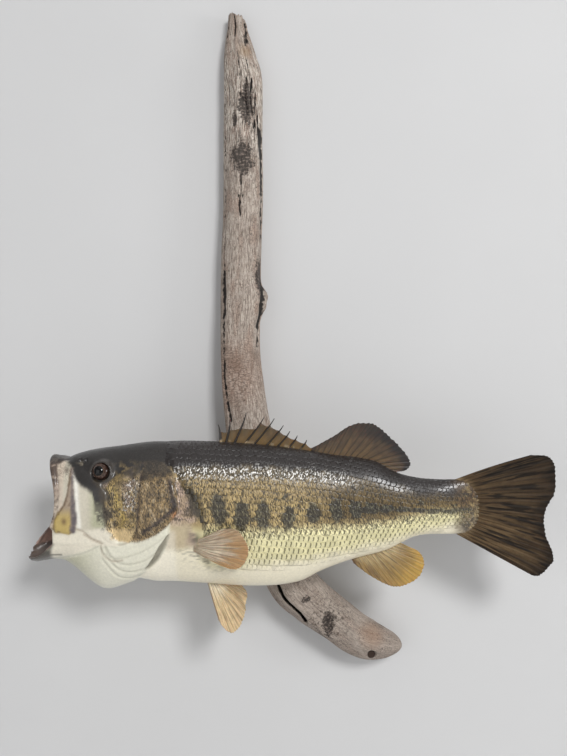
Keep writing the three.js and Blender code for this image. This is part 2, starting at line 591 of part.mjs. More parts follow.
// A strip with both ends bent down to the pocket's floor and teeth along the lower edge of its middle.
function hanger() {
  const [half, bend, floor] = [HANGER.length / 2, HANGER.length / 3.6, -HANGER.pocket[1] + GAP];
  const line = [[-half, floor], [-bend - 1.4, floor], [-bend, floor + HANGER.rise], [bend, floor + HANGER.rise],
    [bend + 1.4, floor], [half, floor]];
  const back = line.toReversed().map(([x, y]) => [x, y + HANGER.thick]);
  const shape = new THREE.Shape([...line, ...back].map(([x, y]) => new THREE.Vector2(x, y)));
  const strip = solid(new THREE.ExtrudeGeometry(shape, { depth: HANGER.height, bevelEnabled: false })
    .translate(0, 0, HANGER.z - HANGER.height / 2));
  const low = HANGER.z - HANGER.height / 2;
  const notches = Array.from({ length: HANGER.teeth }, (_, i) => {
    const x = (i - (HANGER.teeth - 1) / 2) * HANGER.pitch;
    return solid(acrossFish([[x - HANGER.pitch / 2, low - 1], [x + HANGER.pitch / 2, low - 1], [x, low + 2]], 8));
  });
  return without(strip, ...notches);
}

// ---- put together ----
// The head and the tail swing out from the wall: every x is moved sideways by a smooth amount.
function flesh(geometry, grow = 0) {
  const position = geometry.attributes.position;
  for (let i = 0; i < position.count; i++) {
    const x = position.getX(i);
    const head = HEAD_TURN.out * smooth((HEAD_TURN.from - x) / HEAD_TURN.reach);
    const tail = TAIL_TURN.out * smooth((x - TAIL_TURN.from) / TAIL_TURN.reach);
    position.setY(i, position.getY(i) - head - tail);
  }
  return solid(geometry, grow);
}

function fishPieces() {
  const made = {};
  const sides = [["left", -1], ["right", 1]];
  const block = (from, to) => solid(acrossFish([[from, -130], [to, -130], [to, 130], [from, 130]]));
  const taken = []; // grown copies of what is already placed

  const place = (name, shape, grown) => {
    made[name] = without(shape, ...taken);
    taken.push(grown);
  };
  for (const [word, side] of sides)
    place(`eye_${word}`, flesh(eyeGeometry(side)), flesh(eyeGeometry(side), GAP));
  for (const [word, side] of sides) {
    const front = (grow) => flesh(sidePlate(MAXILLA_FRONT, MAXILLA_REAR, side, MAXILLA), grow);
    const rear = (grow) => flesh(
      sidePlate(SUPRAMAXILLA_FRONT, SUPRAMAXILLA_REAR, side, { ...MAXILLA, lift: MAXILLA.lift - 0.6, columns: 1 }), grow);
    place(`maxilla_${word}`, front(0).add(rear(0)), front(GAP).add(rear(GAP)));
  }
  const lip = (grow) => flesh(lipGeometry(), grow).add(flesh(snoutRoof(), grow));
  place("upper_lip", lip(0), lip(GAP));

  const covers = (grow) => sides.map(([, side]) => flesh(coverGeometry(side), grow));
  const body = (grow) => flesh(bodyGeometry(), grow);
  sides.forEach(([word], i) => {
    place(`gill_cover_${word}`, covers(0)[i].subtract(cheekRegion(GAP)), covers(GAP)[i].subtract(cheekRegion(0)));
  });
  const cheeks = (grow) => covers(grow).map((cover) => cover.intersect(cheekRegion(0)));
  const head = (grow) => body(grow).intersect(block(0, NAPE + grow)).add(cheeks(grow)[0]).add(cheeks(grow)[1]);
  place("head", head(0), head(GAP));
  place("trunk", body(0).intersect(block(NAPE + GAP, TAIL_STOCK)), body(GAP).intersect(block(NAPE, TAIL_STOCK + GAP)));
  place("tail_stock", body(0).intersect(block(TAIL_STOCK + GAP, 480)), body(GAP).intersect(block(TAIL_STOCK, 480)));

  const trough = (grow) => flesh(troughGeometry(), grow);
  place("lower_jaw", trough(0).intersect(jawRegion(0)), trough(GAP).intersect(jawRegion(GAP)));
  place("throat", trough(0).subtract(jawRegion(GAP)), trough(GAP));
  place("tongue", flesh(tongueGeometry()), flesh(tongueGeometry(), GAP));
  for (const [word, side] of sides) {
    const skin = (grow) => flesh(sidePlate(SKIN_FRONT, SKIN_REAR, side, { ...SKIN, rows: 6, columns: 3 }), grow);
    place(`mouth_skin_${word}`, skin(0), skin(GAP));
  }

  const spiny = SPINES.reduce((fin, spine) => fin.add(flesh(spineGeometry(spine))), flesh(spineWeb()));
  place("dorsal_fin_spiny", spiny, flesh(spineWeb(), GAP));
  place("dorsal_fin_soft", flesh(backFin(SOFT_DORSAL, "top", FIN_ROOT)), flesh(backFin(SOFT_DORSAL, "top", FIN_ROOT), GAP));
  place("anal_fin", flesh(backFin(ANAL, "bottom", -FIN_ROOT)), flesh(backFin(ANAL, "bottom", -FIN_ROOT), GAP));
  const caudal = finGeometry({ base: through(CAUDAL.base), tip: through(CAUDAL.tip), rays: 16, steps: 3, bow: CAUDAL.bow });
  place("tail_fin", flesh(caudal), flesh(caudal, GAP));
  for (const [word, side] of sides) {
    place(`pectoral_fin_${word}`, flesh(pectoralGeometry(side)), flesh(pectoralGeometry(side), GAP));
    place(`pelvic_fin_${word}`, flesh(pelvicGeometry(side)), flesh(pelvicGeometry(side), GAP));
  }
  return { pieces: made, grownBody: body(GAP) };
}

// From the fish's own frame to the wall's.
const hung = new THREE.Matrix4().makeTranslation(FISH_AT).multiply(new THREE.Matrix4().makeRotationX(FISH_ROLL));
const hang = (made) => made.transform(hung.elements);

function mountPieces(grownBody) {
  const screws = (grow) => BODY_SCREWS.map(([x, z]) => solid(screwGeometry(BODY_SCREW, x, z), grow));
  const sockets = BODY_SCREWS.map(([x, z]) => solid(rodAlongY(BODY_SCREW.head + GAP, -BODY_SCREW.sink, 10, x, z)));
  const [width, depth, height] = HANGER.pocket;
  const pocket = solid(new THREE.BoxGeometry(width, 2 * depth, height).translate(0, 0, HANGER.z));
  const nailHead = -depth + GAP + HANGER.thick + 0.1;
  const nail = (side, grow) => solid(rodAlongY(NAIL.head, nailHead, nailHead + NAIL.headThick, side * NAIL.x, HANGER.z, 8), grow)
    .add(solid(rodAlongY(NAIL.shank, nailHead - NAIL.length, nailHead + 0.2, side * NAIL.x, HANGER.z, 8), grow));
  const foot = (grow) => solid(screwGeometry({ ...FOOT_SCREW, sink: 0 }, 0, 0).rotateX(Math.PI)
    .translate(FOOT_SCREW.x, FOOT_SCREW.front + FOOT_SCREW.sink, FOOT_SCREW.z), grow);
  const footBore = solid(rodAlongY(FOOT_SCREW.head + GAP, FOOT_SCREW.front - 12, FOOT_SCREW.front + FOOT_SCREW.sink,
    FOOT_SCREW.x, FOOT_SCREW.z));
  const burl = solid(new THREE.SphereGeometry(1, 12, 8).scale(...BURL.radii).translate(...BURL.at));
  const branch = solid(branchGeometry()).add(burl).trimByPlane([0, -1, 0], 0);
  const nails = (grow) => [nail(-1, grow), nail(1, grow)];
  const screwRoom = screws(GAP);
  const [upper, lower] = screws(0);
  return {
    driftwood: without(branch, hang(grownBody), solid(splitGeometry()), pocket, footBore, foot(GAP),
      ...nails(GAP), ...screwRoom, ...sockets),
    hanger: without(hanger(), ...nails(GAP / 2)),
    hanger_nail_left: nails(0)[0],
    hanger_nail_right: nails(0)[1],
    body_screw_upper: upper,
    body_screw_lower: lower,
    foot_screw: foot(0),
    screwRoom,
  };
}

// ---- materials ----
const MATERIALS = {
  back: new THREE.MeshStandardMaterial({ name: "back", color: 0x45473f, roughness: 0.32, metalness: 0 }),
  flank: new THREE.MeshStandardMaterial({ name: "flank", color: 0xa79e6d, roughness: 0.32, metalness: 0 }),
  cheek: new THREE.MeshStandardMaterial({ name: "cheek", color: 0x80704b, roughness: 0.32, metalness: 0 }),
  throat: new THREE.MeshStandardMaterial({ name: "throat", color: 0xdcdac6, roughness: 0.35, metalness: 0 }),
  lip: new THREE.MeshStandardMaterial({ name: "lip", color: 0x7a6f60, roughness: 0.35, metalness: 0 }),
  eye: new THREE.MeshStandardMaterial({ name: "eye", color: 0x3a2a22, roughness: 0.05, metalness: 0 }),
  dark_fin: new THREE.MeshStandardMaterial({ name: "dark_fin", color: 0x554637, roughness: 0.4, metalness: 0 }),
  pale_fin: new THREE.MeshStandardMaterial({ name: "pale_fin", color: 0xc4a377, roughness: 0.4, metalness: 0 }),
  tongue: new THREE.MeshStandardMaterial({ name: "tongue", color: 0xb08a7a, roughness: 0.4, metalness: 0 }),
  driftwood: new THREE.MeshStandardMaterial({ name: "driftwood", color: 0x9d9188, roughness: 0.9, metalness: 0 }),
  steel: new THREE.MeshStandardMaterial({ name: "steel", color: 0xa9abad, roughness: 0.4, metalness: 1 }),
};

const FINISH = [
  [/^eye/, "eye"], [/^maxilla|^upper_lip/, "lip"], [/^gill_cover/, "cheek"], [/^head/, "back"],
  [/^trunk|^tail_stock/, "flank"], [/^lower_jaw|^throat|^mouth_skin/, "throat"], [/^tongue/, "tongue"],
  [/^dorsal|^tail_fin/, "dark_fin"], [/^anal|^pectoral|^pelvic/, "pale_fin"], [/^driftwood/, "driftwood"],
  [/screw|hanger/, "steel"],
];

function meshOf(name, made) {
  const { vertProperties, triVerts, numProp } = made.getMesh();
  const points = [];
  for (let i = 0; i < vertProperties.length; i += numProp) points.push(V3(...vertProperties.subarray(i, i + 3)));
  const geometry = geometryOf(points, Array.from(triVerts));
  geometry.computeVertexNormals();
  const mesh = new THREE.Mesh(geometry, MATERIALS[FINISH.find(([pattern]) => pattern.test(name))[1]]);
  mesh.name = name;
  return mesh;
}

const mounted = new THREE.Group();
const { pieces, grownBody } = fishPieces();
const { screwRoom, ...fittings } = mountPieces(grownBody);
for (const [name, made] of Object.entries(pieces)) {
  const placed = hang(made);
  mounted.add(meshOf(name, name === "trunk" ? without(placed, ...screwRoom) : placed));
}
for (const [name, made] of Object.entries(fittings)) mounted.add(meshOf(name, made));

export default mounted;
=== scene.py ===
# %% [markdown]
# A largemouth bass, mounted with its mouth open, is fixed side-on to a branch of driftwood. The solids of
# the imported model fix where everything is. This lesson dresses them: one skin for the whole fish, a coat
# of scales, rayed fins, glass eyes and weathered wood. Most forms are functions of two parameters, worked
# out as whole arrays, because a fish is made of a few smooth rules and a great many repeats.

import itertools
import math

import bmesh
import bpy
import numpy as np
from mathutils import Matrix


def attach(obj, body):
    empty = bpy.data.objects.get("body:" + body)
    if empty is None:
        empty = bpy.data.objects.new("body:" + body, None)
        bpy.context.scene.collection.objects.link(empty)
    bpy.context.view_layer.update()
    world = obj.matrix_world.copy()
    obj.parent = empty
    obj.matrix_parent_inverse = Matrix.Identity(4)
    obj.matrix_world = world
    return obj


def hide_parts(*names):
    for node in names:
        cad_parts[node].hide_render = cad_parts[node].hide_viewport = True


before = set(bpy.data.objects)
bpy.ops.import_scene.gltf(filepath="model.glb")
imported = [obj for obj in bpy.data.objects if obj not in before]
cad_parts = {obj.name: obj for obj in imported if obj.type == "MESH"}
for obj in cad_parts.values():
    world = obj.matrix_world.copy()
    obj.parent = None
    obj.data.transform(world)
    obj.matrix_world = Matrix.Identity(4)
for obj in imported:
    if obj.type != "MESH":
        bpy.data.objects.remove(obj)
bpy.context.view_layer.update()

# %% [markdown]
# The camera comes first. It stands level in front of the wall and looks straight at it. The focal length
# is given in pixels of a picture 756 pixels high; Blender wants it in millimetres of sensor, and measures
# the sensor along the picture's longer side.

# %% Camera
MM = 0.001
CAMERA_AT = (41.4 * MM, -936 * MM, -263.6 * MM)
FOCAL_PIXELS = 894.7
PICTURE_HEIGHT = 756
SENSOR = 36

camera_data = bpy.data.cameras.new("camera")
camera_data.sensor_width = SENSOR
camera_data.lens = SENSOR * FOCAL_PIXELS / PICTURE_HEIGHT
camera = bpy.data.objects.new("camera", camera_data)
camera.location = CAMERA_AT
camera.rotation_euler = (math.pi / 2, 0, 0)
bpy.context.scene.collection.objects.link(camera)
bpy.context.scene.camera = camera
print("lens:", round(camera_data.lens, 2), "mm")

# %% [markdown]
# Small tools that every piece uses. A form is an array of points, and a grid gives its faces. A colour is
# written as six hex digits.

# %% Colours, grids and closed forms
def srgb(code):
    """A colour written as six hex digits, in the linear numbers that shaders use."""
    value = np.array([int(code[i:i + 2], 16) for i in (0, 2, 4)]) / 255
    return np.where(value < 0.04045, value / 12.92, ((value + 0.055) / 1.055) ** 2.4)


def lattice(first, second):
    """Two arrays of parameters: the first value changes from row to row, the second along a row."""
    return np.meshgrid(first, second, indexing="ij")


def shares(count):
    """Evenly spaced shares from 0 to 1."""
    return np.linspace(0, 1, count)


def turns(count):
    """Evenly spaced angles round a full turn, which ends one step before its start."""
    return np.linspace(0, 2 * np.pi, count, False)


def grid_faces(rows, columns, around=False):
    """Quads between neighbouring points of a grid; around joins the last column to the first."""
    i, j = lattice(np.arange(rows - 1), np.arange(columns - (not around)))
    k = (j + 1) % columns
    quads = np.stack([i * columns + j, (i + 1) * columns + j, (i + 1) * columns + k, i * columns + k], -1)
    return quads.reshape(-1, 4)


def tube(rings):
    """Closed form over rings of shape (m, n, 3): each end is shut by a ring drawn in to its middle."""
    first, last = rings[:1].mean(1, keepdims=True), rings[-1:].mean(1, keepdims=True)
    size = (1,) + rings.shape[1:]
    points = np.concatenate([np.broadcast_to(first, size), rings, np.broadcast_to(last, size)])
    return points.reshape(-1, 3), grid_faces(len(points), points.shape[1], around=True)


def capped(values):
    """Values of each ring's points for tube(), whose ends take those of the first and last ring."""
    return np.concatenate([values[:1], values, values[-1:]]).reshape(-1, values.shape[-1])


def slab(outer, inner):
    """Closed form between two grids of shape (m, n, 3), with a rim of quads round the edge."""
    rows, columns = outer.shape[:2]
    points = np.concatenate([outer.reshape(-1, 3), inner.reshape(-1, 3)])
    face = grid_faces(rows, columns)
    index = np.arange(rows * columns).reshape(rows, columns)
    rim = np.concatenate([index[0, :-1], index[:-1, -1], index[-1, :0:-1], index[:0:-1, 0]])
    ahead = np.roll(rim, -1)
    shift = rows * columns
    sides = np.stack([rim, ahead, ahead + shift, rim + shift], -1)
    return points, np.concatenate([face, face[:, ::-1] + shift, sides])


def joined(parts):
    """Several (points, faces) forms as one."""
    offsets = np.cumsum([0] + [len(points) for points, _ in parts[:-1]])
    faces = [face + offset for (_, face), offset in zip(parts, offsets)]
    return np.concatenate([points for points, _ in parts]), np.concatenate(faces)


# %% [markdown]
# A mesh is made in one call from points, faces and the values that its points carry, such as paint. Closed
# forms are cleaned on the way: doubled points merged and faces turned outwards.

# %% Meshes with values
def new_mesh(name, points, faces, attributes=None, merge=False, turn=False):
    """A smooth mesh with values kept per point; merge joins doubled points, both flags face it outwards."""
    mesh = bpy.data.meshes.new(name)
    mesh.from_pydata(np.asarray(points), [], np.asarray(faces))
    for key, values in (attributes or {}).items():
        kind, field = ("FLOAT", "value") if values.ndim == 1 else ("FLOAT_VECTOR", "vector")
        if key == "paint":
            kind, field, values = "FLOAT_COLOR", "color", np.column_stack([values, np.ones(len(values))])
        mesh.attributes.new(key, kind, "POINT").data.foreach_set(field, values.astype(np.float32).ravel())
    if merge or turn:
        work = bmesh.new()
        work.from_mesh(mesh)
        if merge:
            bmesh.ops.remove_doubles(work, verts=work.verts, dist=1e-6)
            bmesh.ops.dissolve_degenerate(work, edges=work.edges, dist=1e-7)
        bmesh.ops.recalc_face_normals(work, faces=work.faces)
        work.to_mesh(mesh)
        work.free()
    mesh.polygons.foreach_set("use_smooth", np.ones(len(mesh.polygons), bool))
    piece = bpy.data.objects.new(name, mesh)
    bpy.context.scene.collection.objects.link(piece)
    print(f"{name}: {len(mesh.polygons)} faces")
    return piece


# %% [markdown]
# Curves and soft steps. A curve through points is the Catmull-Rom one: between two points it is a cubic
# whose slopes at the ends are half the chord from neighbour to neighbour.

# %% Curves and soft steps
def through(points, t, closed=False):
    """Points of the Catmull-Rom curve at parameters t from 0 to 1."""
    p = np.asarray(points, float)
    if closed:
        p = np.vstack([p[-1], p, p[0], p[1]])
    else:
        p = np.vstack([2 * p[0] - p[1], p, 2 * p[-1] - p[-2]])
    spans = len(p) - 3
    s = np.clip(t, 0, 1) * spans
    i = np.minimum(s.astype(int), spans - 1)
    f = (s - i)[..., None]
    a, b, c, d = p[i], p[i + 1], p[i + 2], p[i + 3]
    return 0.5 * (2 * b + (c - a) * f + (2 * a - 5 * b + 4 * c - d) * f**2 + (3 * b - 3 * c + d - a) * f**3)


def smooth(t):
    """0 below 0, 1 above 1 and 3t^2 - 2t^3 between them."""
    t = np.clip(t, 0, 1)
    return t * t * (3 - 2 * t)


def dent(distance, width):
    """1 on a line, falling to 0 like a bell of the given width."""
    return np.exp(-((distance / width) ** 2))


def blob(off_x, width, off_z, height):
    """1 in the middle of a spot, falling to 0 like a bell both ways."""
    return np.exp(-((off_x / width) ** 2 + (off_z / height) ** 2))


def unit(vectors):
    """Vectors made one long."""
    return vectors / np.linalg.norm(vectors, axis=-1, keepdims=True)


def lerp(a, b, t):
    """The value a share t of the way from a to b."""
    return a + (b - a) * t


def power(value, n):
    """A power that keeps the sign, for superellipses."""
    return np.sign(value) * np.abs(value) ** n


# %% [markdown]
# Noise is made of random numbers on a lattice, blended smoothly, so the same seed always gives the same
# wobble. Several octaves of it, each finer and weaker than the last, look like skin or wood.

# %% Noise
HASH_FACTORS, HASH_SEED = np.array([374761393, 668265263, 1274126177]), 974711


def noise(points, size, seed=0):
    """Value noise from 0 to 1: hashed lattice numbers, blended with smooth() along each axis."""
    q = np.asarray(points, float) / size
    cell = np.floor(q).astype(np.int64)
    f = q - cell
    f = f * f * (3 - 2 * f)
    total = 0
    for corner in itertools.product((0, 1), repeat=q.shape[-1]):
        n = ((cell + corner) * HASH_FACTORS[:q.shape[-1]]).sum(-1) + seed * HASH_SEED
        n = (n ^ (n >> 13)) * 1103515245 & 0x7FFFFFFF
        n = (n ^ (n >> 11)) * 12820163 & 0x7FFFFFFF
        weight = np.where(corner, f, 1 - f).prod(-1)
        total = total + weight * ((n >> 7) & 0xFFFF) / 0xFFFF
    return total


def layered(points, size, seed=0, octaves=3):
    """Noise from -1 to 1: each octave is half the size and 0.55 of the strength of the one before."""
    strength = 0.55 ** np.arange(octaves)
    parts = [2 * noise(points, size / 2**k, seed + k) - 1 for k in range(octaves)]
    return sum(s * p for s, p in zip(strength, parts)) / strength.sum()


# %% [markdown]
# The fish is drawn straight, in a frame of its own: x from snout to tail, y across with the left flank
# negative, z up, in millimetres. hang() then swings head and tail a little out from the wall, leans the
# back over by five degrees and moves the fish to its place on the branch.

# %% The fish's own frame
FISH_AT = np.array([-180.0, -86.0, -389.0])
FISH_LEAN = math.radians(5)
HEAD_SWING, TAIL_SWING = (120, 140, 5), (200, 280, 13)  # from x, over a length, out by


def swing(x):
    """How far head and tail swing out from the wall at x."""
    head = HEAD_SWING[2] * smooth((HEAD_SWING[0] - x) / HEAD_SWING[1])
    return head + TAIL_SWING[2] * smooth((x - TAIL_SWING[0]) / TAIL_SWING[1])


def hang(points):
    """Fish millimetres to world metres: a smooth swing along x, a turn about x, a shift."""
    x, y, z = np.moveaxis(np.asarray(points, float), -1, 0)
    y = y - swing(x)
    c, s = math.cos(FISH_LEAN), math.sin(FISH_LEAN)
    return (np.stack([x, y * c - z * s, y * s + z * c], -1) + FISH_AT) * MM


print("the snout hangs at", np.round(hang([0, 0, 0]), 3), "and the tail at", np.round(hang([480, 0, 0]), 3))

# %% [markdown]
# The body is a stack of sections. Each has a top, a bottom, a half width, the height of its widest place,
# and two numbers that say how square its upper and lower halves are. Between two stations each value
# follows a smooth cubic, so twenty-five rows are enough for the whole length.

# %% Body sections
BODY = np.array([  # x, top, bottom, half width, mid height, crown, keel
    [17.6, 50.4, 44, 6, 48, 2, 2], [25, 53.8, 36, 14.5, 46, 2.2, 2], [35, 56.9, 27, 20, 43, 2.2, 2.2],
    [49, 59.6, 8, 27, 34, 2.2, 2.6], [58, 60.9, -20, 30.5, 22, 2.1, 3], [66, 61.8, -44, 33, 14, 2, 3.2],
    [78, 63.6, -58, 36, 8, 2, 3], [96, 65.7, -65.2, 38.5, 2, 2, 2.6], [124, 66.7, -68.2, 40, -3, 2, 2.3],
    [153, 66.2, -70.3, 40.5, -4, 1.95, 2.2], [180, 64.9, -72.4, 40, -4, 1.9, 2.2],
    [200, 63.4, -72.8, 38.8, -4, 1.9, 2.2], [224, 60.8, -71.4, 36, -3, 1.9, 2.1],
    [240, 58.5, -67.6, 33.5, -2, 1.9, 2], [254, 56.4, -60, 31, 0, 1.9, 2],
    [270, 53.8, -53, 27.5, 1, 1.9, 2], [292, 51.6, -45.4, 23, 3, 1.9, 2],
    [311, 46.9, -40.3, 19.5, 4, 1.9, 2], [322, 40.6, -36.4, 17.6, 4, 1.9, 2],
    [333, 36, -30, 15.8, 3.5, 1.9, 2], [346, 33.2, -24, 13.8, 3.5, 2, 2], [370, 31.6, -21.6, 11, 3.5, 2, 2],
    [386, 31.4, -21.4, 7, 3.5, 2, 2], [397, 28, -19, 3.4, 3.5, 2, 2], [407, 16, -9, 0.5, 3.5, 2, 2],
])
BODY_FROM, BODY_TO = BODY[0, 0], BODY[-1, 0]


def section(x):
    """The six values at x: Hermite cubics, each slope the mean of the chords on its two sides."""
    rows, at = BODY[:, 1:], BODY[:, 0]
    chord = np.diff(rows, axis=0) / np.diff(at)[:, None]
    span = np.diff(at)[:, None]
    inner = (chord[1:] * span[:-1] + chord[:-1] * span[1:]) / (span[:-1] + span[1:])
    slope = np.vstack([chord[:1], inner, chord[-1:]])
    i = np.clip(np.searchsorted(at, x, side="right") - 1, 0, len(at) - 2)
    h = (at[i + 1] - at[i])[..., None]
    t = np.clip((x - at[i])[..., None] / h, 0, 1)
    value = rows[i] * (2 * t**3 - 3 * t**2 + 1) + rows[i + 1] * (3 * t**2 - 2 * t**3)
    value = value + h * (slope[i] * (t**3 - 2 * t**2 + t) + slope[i + 1] * (t**3 - t**2))
    return np.moveaxis(value, -1, 0)


def body_point(x, angle, sink=0.0):
    """Superellipse section at x; angle is 0 at the right flank and a quarter turn at the back."""
    top, bottom, half, mid, crown, keel = section(x)
    c, v = np.cos(angle), np.sin(angle)
    square = 2 / np.where(v > 0, crown, keel)
    reach = np.where(v > 0, top - mid, mid - bottom) - sink
    return np.stack([x + 0 * angle, (half - sink) * power(c, square), mid + reach * power(v, square)], -1)


def body_half(x, z):
    """Half width of the section at x, at height z: the superellipse solved for its width."""
    top, bottom, half, mid, crown, keel = section(np.asarray(x, float))
    above = z > mid
    reach, square = np.where(above, top - mid, mid - bottom), np.where(above, crown, keel)
    share = np.clip(np.abs(z - mid) / reach, 0, 1)
    return half * (1 - share**square) ** (1 / square)


COAT = 0.85  # room that the scales take over the skin, which starts behind the head
x_rings, angles = lattice(np.linspace(BODY_FROM, BODY_TO, 150), turns(120))
body_form = tube(body_point(x_rings, angles, COAT * smooth((x_rings - 96) / 20)))
print("body is widest at", round(float(section(np.array(150.0))[2]) * 2, 1), "mm")

# %% [markdown]
# The lower jaw and the throat are one trough. Hoops run from the chin to the free edge of the gill
# membranes, each from one rim, down under the keel and up to the other rim, and the later ones lag
# behind towards the rim, the way the rays of the membrane do.

# %% Jaw and throat
HOOPS = np.array([  # keel x, keel z, rim x, rim half width, rim z, floor z
    [-20.5, -43.5, -20.5, 0.8, -41.5, -42.8], [-17, -46.5, -17.6, 9, -38.4, -43.4],
    [-11, -47.4, -11, 16, -33, -43.6], [-2, -46, -3, 21, -26.5, -42.6], [8, -44.6, 6, 25, -20, -41],
    [17.5, -46.6, 18, 28.5, -17.5, -41], [28, -55, 30, 31, -17.5, -42], [39, -65.5, 44, 33.5, -18, -44],
    [50, -73.3, 57, 35.5, -19, -48], [60, -73.6, 72, 37.5, -21, -56], [70, -70.3, 90, 40, -20, -64],
    [78.5, -67.3, 106, 42.5, -11, -63.6], [81, -65.5, 117.5, 43, -4, -62.6],
])
HOOP_LAG = 2.3
JAW_WALL, MEMBRANE_WALL = 3.0, 3.6
JAW_TILT, JAW_TILT_HOOPS = 9.0, 5.2  # the left rim hangs and the right rim stands, over the first hoops


def trough_point(t, a, inside):
    """t runs along the hoops, a from -1 at the left rim to 1 at the right; inside is the mouth's floor."""
    step = t * (len(HOOPS) - 1)
    keel_x, keel_z, rim_x, rim_half, rim_z, floor_z = np.moveaxis(through(HOOPS, t), -1, 0)
    sine, cosine = np.sin(a * np.pi / 2), np.cos(a * np.pi / 2)
    wall = lerp(JAW_WALL, MEMBRANE_WALL, smooth((step - 7) / 4)) * np.minimum(1, step / 2)
    half = np.maximum(rim_half - (wall if inside else 0), 0.3)
    rim_z = rim_z + JAW_TILT * a * np.sin(np.pi * np.clip(step / JAW_TILT_HOOPS, 0, 1) ** 1.3)
    keel_x = keel_x + (1.2 * np.maximum(0, 1 - step / 2) if inside else 0)
    low = floor_z if inside else keel_z
    x = lerp(keel_x, rim_x, np.abs(sine) ** HOOP_LAG)
    z = rim_z - (rim_z - low) * np.abs(cosine) ** (0.8 if inside else 1.0)
    return np.stack([x, half * sine, z], -1)


hoop_t, hoop_a = lattice(shares(150), np.linspace(-1, 1, 110))
trough_form = slab(trough_point(hoop_t, hoop_a, False), trough_point(hoop_t, hoop_a, True))
print("jaw and throat:", len(trough_form[0]), "points")

# %% [markdown]
# The sides of the open mouth share one wall, which widens from the lip to the cheek and closes over the
# top like a vault. The white skin of the mouth, the long upper jaw bone and the small bone behind it are
# patches of that wall, each between a front and a rear edge drawn in side view.

# %% Sides of the mouth
MOUTH_SIDE = {"x": 8, "half": 27, "spread": 0.1875, "low": -12, "height": 64, "rise": 0.2}
SKIN_FRONT = [[14, 50], [12, 34], [13.8, 18], [12.4, 2], [9, -9], [9, -24]]
SKIN_REAR = [[31, 50], [48, 38], [59, 25], [61, 9], [65, -6], [70, -24]]
MAXILLA_FRONT = [[25.4, 45.5], [24.4, 28], [20.6, 13], [11.6, -1], [11.3, -12.6]]
MAXILLA_REAR = [[27.6, 45], [27.8, 28], [28.2, 12], [28.4, -1], [26.8, -13.8]]
MAXILLA_MIDDLE = [[26.6, 45.2], [26.6, 28], [26.9, 12], [27.1, -1], [25.6, -13.5]]
SUPRAMAXILLA_REAR = [[28.6, 41], [30.6, 28], [32.6, 14], [33.3, 1], [31.2, -12.4]]


def mouth_half(x, z):
    """Half width of the mouth's wall: a superellipse in z whose width and height grow with x."""
    m = MOUTH_SIDE
    half = m["half"] + m["spread"] * (x - m["x"])
    share = np.clip(np.maximum(z - m["low"], 0) / (m["height"] + m["rise"] * (x - m["x"])), 0, 0.995)
    return half * (1 - share**2.6) ** (1 / 2.2)


def side_patch(front, rear, side, lift, wall, bulge=0.0, rows=60, columns=30, crease=0.0):
    """A slab on the mouth's wall; bulge swells its middle and crease rolls its edges inwards."""
    t, a = lattice(shares(rows), shares(columns))
    edge_a, edge_b = through(front, t), through(rear, t)
    x, z = np.moveaxis(lerp(edge_a, edge_b, a[..., None]), -1, 0)
    swell = bulge * np.sin(np.pi * a) * np.sin(np.pi * np.minimum(t * 1.1, 1))
    round_off = crease * (1 - smooth(np.minimum(a, 1 - a) / 0.16)
                          * smooth(np.minimum(t + 0.05, 1 - t) / 0.06))
    outer = mouth_half(x, z) + lift + swell - round_off
    return slab(np.stack([x, side * outer, z], -1), np.stack([x, side * (outer - wall), z], -1))


# %% [markdown]
# The upper lip is a round bar along an arch, thick in the middle and thin at the corners of the mouth.
# Flattened rings carry the snout from the lip back under the brow.

# %% Upper lip and snout
LIP_PATH = [[8.4, -10], [12.6, 2], [14, 18], [12.2, 33], [8.8, 45]]
LIP_TOP = {"x": 6.8, "z": 50.6, "radius": 3.9, "end": 2.4}
SNOUT_ROOF = np.array([[7.5, 6.5, 53.2, 47], [11, 11.5, 53.2, 44], [16, 14, 52.4, 41], [24, 12, 50, 41],
                       [29, 8, 47.5, 41]])


def lip_form(steps=120, sides=24):
    """A round bar along the arch of the lip, thick at the top and thin at the corners of the mouth."""
    side = np.array([[x, float(mouth_half(x, z)) - 1, z] for x, z in LIP_PATH])
    arch = np.vstack([side, [[LIP_TOP["x"], 0, LIP_TOP["z"]]], side[::-1] * [1, -1, 1]])
    t = shares(steps)
    path = through(arch, t)
    along = unit(np.gradient(path, axis=0))
    forward = unit(np.array([1.0, 0, 0]) - along * along[:, :1])
    across = np.cross(along, forward)
    radius = lerp(LIP_TOP["end"], LIP_TOP["radius"], smooth(1 - np.abs(2 * t - 1)))
    turn = turns(sides)
    offset = np.cos(turn)[None, :, None] * forward[:, None] + np.sin(turn)[None, :, None] * across[:, None]
    return tube(path[:, None] + radius[:, None, None] * offset)


def snout_form(steps=30, sides=60):
    """Flattened rings from the lip back under the brow."""
    rows = through(SNOUT_ROOF, shares(steps))
    turn = turns(sides)
    x, half, top, bottom = (rows[:, i, None] for i in range(4))
    z = lerp(bottom, top, (power(np.sin(turn), 0.9) + 1) / 2)
    return tube(np.stack([x + 0 * z, half * power(np.cos(turn), 0.8), z], -1))


# %% [markdown]
# Cheek and gill cover are one shield on each side, drawn in side view round a centre and laid over the
# body's own width. It stands off a little more towards the rear, where the cover ends in a soft flap.

# %% Cheek and gill cover
COVER_OUTLINE = [
    [57, -12], [64.5, -20.5], [77, -24.5], [90, -22.8], [105.5, -13], [119, -1.5], [125.5, 8],
    [126, 15], [124, 28], [119, 42], [110, 51], [96, 54], [80, 47], [63, 33], [53.5, 18], [52.6, 3],
]
COVER = {"centre": (90, 14), "jaw": 70, "front": 2.6, "rear": 5.4, "wall": 6.5, "flap": 4.6}
PREOPERCLE = {"x": 88.5, "lean": 0.06, "z": 10, "flare": 6}


